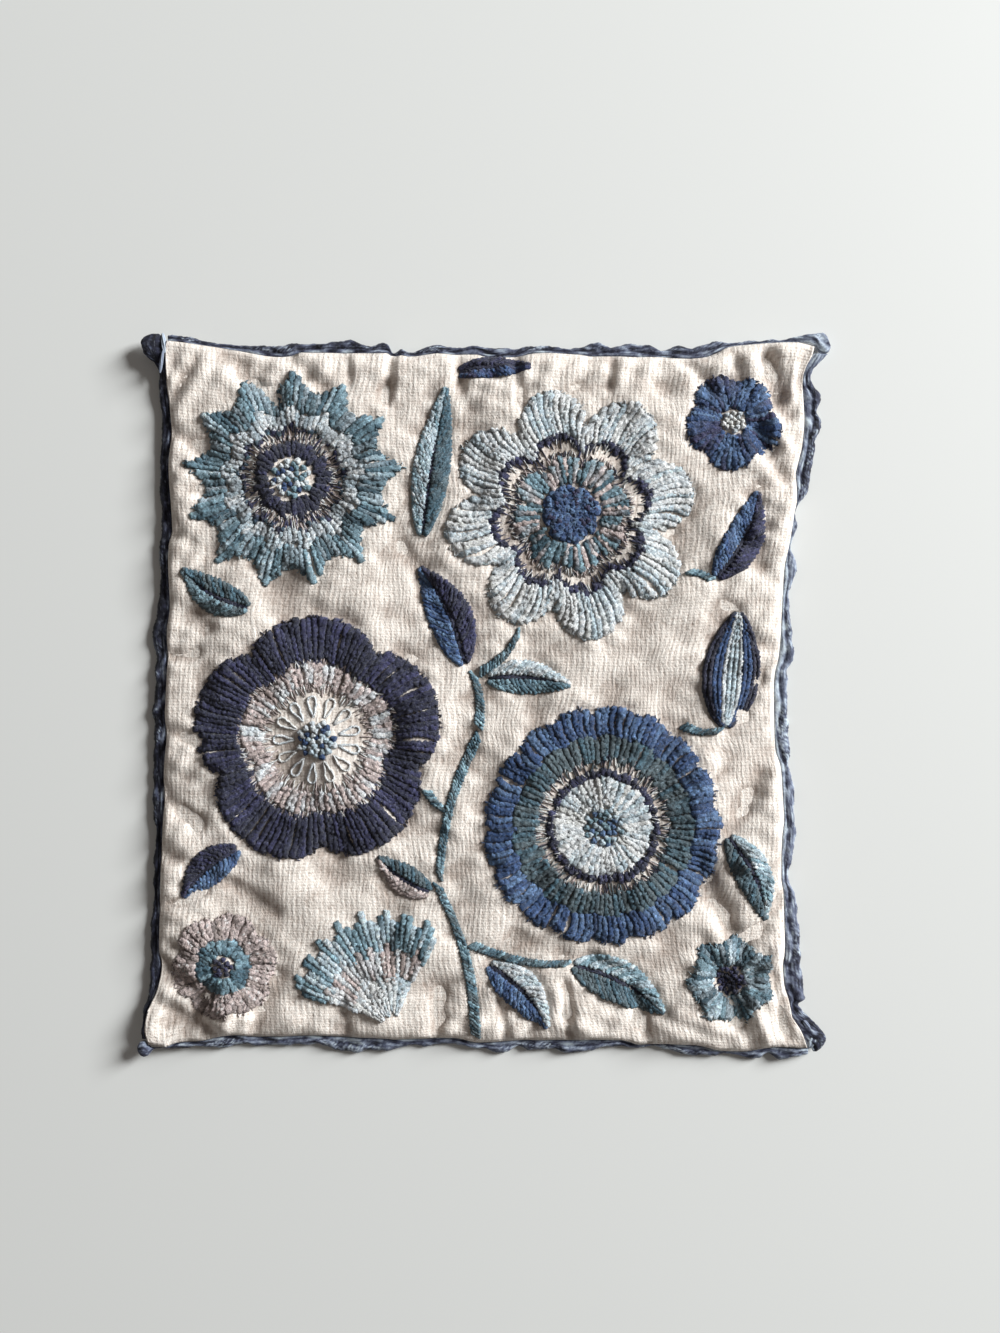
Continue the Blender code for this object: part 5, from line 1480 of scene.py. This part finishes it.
def tuck(x, y, z, long, wide, high, turn, tone, seed):
    """One small fold: a pointed egg, creased along its length."""
    around = np.linspace(0.0, math.tau, TUCK_AROUND + 1)[:-1]
    ends = np.linspace(0.0, math.pi, TUCK_RINGS + 2)[1:-1]
    size = np.sin(ends)[:, None] ** 0.8
    crease = 1.0 + 0.16 * np.sin(5.0 * around[None] + 2.0 * ends[:, None] + seed)
    along = -long * np.cos(ends)[:, None] * np.ones((1, TUCK_AROUND))
    side = wide * size * crease * np.cos(around)
    up = np.maximum(z + high * size * crease * np.sin(around), 2.0 * TABLE_GAP)
    c, s = math.cos(math.radians(turn)), math.sin(math.radians(turn))
    rings = np.stack([x + c * along - s * side, y + s * along + c * side, up], axis=-1)
    tips = np.array([[x - long * c, y - long * s, z], [x + long * c, y + long * s, z]])
    ring = np.arange(TUCK_AROUND)
    after = np.roll(ring, -1)
    last = (TUCK_RINGS - 1) * TUCK_AROUND
    tip = np.full(TUCK_AROUND, TUCK_RINGS * TUCK_AROUND)
    faces = [tube_faces(TUCK_RINGS, TUCK_AROUND), np.stack([tip, ring, after], axis=-1),
             np.stack([tip + 1, last + after, last + ring], axis=-1)]
    # Painted light of the fold: paler on its crease ridges, painted shade in the grooves between
    # them.
    lit = np.clip(tone + 0.9 * (crease - 1.0) * np.ones((TUCK_RINGS, 1)), 0.0, 1.0).ravel()
    points = np.concatenate([rings.reshape(-1, 3), tips])
    return points, colour_in_light(np.append(lit, [tone, tone])), [part[:, ::-1] for part in faces]


tuck_points, tuck_colours, tuck_faces = gathered([tuck(*row) for row in TUCKS])
tucks = solid("corner_tucks", tuck_points, tuck_faces)
paint_points(tucks, "dye", tuck_colours)
map_points(tucks, tuck_points[:, :2] * MM)
tucks.data.materials.append(cotton.material)
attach(tucks, "root")
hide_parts("edging_top")

# The back cloth.
# One panel of plain cream cotton, lying level on the table, sewn to the front round its rim.
# No opening shows in the rim, so the cover is closed all round.
BACK_COLUMNS = 80
BACK_CLOTH_ROWS = 84
BACK_LEAST = 0.8
BACK_FLAT_FROM = 14.0
BACK_PUCKERS = (0.12, 21.0, 30.0)
THREAD_PITCH = (0.0011, 0.0012)

back_plan = patch(BACK_COLUMNS, BACK_CLOTH_ROWS)
bx, by = back_plan[..., 0].ravel(), back_plan[..., 1].ravel()
back_distance, back_rim = to_seam(rough_seam, bx, by)
upper = back_top(back_distance, back_rim) - SEAM_HALF_GAP
rise, length, reach = BACK_PUCKERS
upper += rise * ripples(bx, by, length, 8, 31) * np.exp(-back_distance / reach)
lower = np.where(back_distance > BACK_FLAT_FROM, 0.0, np.maximum(upper - BACK_THICK, 0.0))
top = np.stack([bx, by, np.maximum(upper, lower + BACK_LEAST)], axis=1)
low = np.stack([bx, by, lower], axis=1)
top_ring = rim_of(BACK_CLOTH_ROWS, BACK_COLUMNS)
low_ring = rim_of(BACK_CLOTH_ROWS, BACK_COLUMNS, len(top))
wall = np.stack([np.roll(top_ring, -1), top_ring, low_ring, np.roll(low_ring, -1)], axis=1)
faces = [grid_faces(BACK_CLOTH_ROWS, BACK_COLUMNS)]
faces.append(grid_faces(BACK_CLOTH_ROWS, BACK_COLUMNS, len(top))[:, ::-1])
faces.append(wall)
points = np.concatenate([top, low])
back = solid("back_cloth", points, faces)
map_points(back, (points[:, :2] + MAP_CORNER) * MM)

plain = Nodes("plain_cotton")
place, *axes = plain.cloth_map()
warp, weft = (plain.maths("SINE", plain.wave(axis, pitch)) for axis, pitch in zip(axes, THREAD_PITCH))
slubs = plain.noise(place, (180.0, 700.0, 1.0), 3.0, 0.6)
weave = plain.maths("MULTIPLY", plain.maths("MULTIPLY", warp, weft), 0.25)
weave = plain.maths("ADD", weave, slubs)
# Painted light of the weave: lighter where the height that drives the bump is high, painted shade
# where it is low.
plain.surface(plain.between(plain.ranged(weave, 0.25, 0.75), SHADE, LIT_CREST), 0.92, 0.2)
plain.raised(weave, 0.5, 0.0004)
back.data.materials.append(plain.material)
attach(back, "root")
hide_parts("back_panel")

# Size of each sheet when it was cut, in metres, and what it lies on.
for strip_piece in strips:
    length = 0.505 if strip_piece.name in ("strip_left", "strip_right") else 0.480
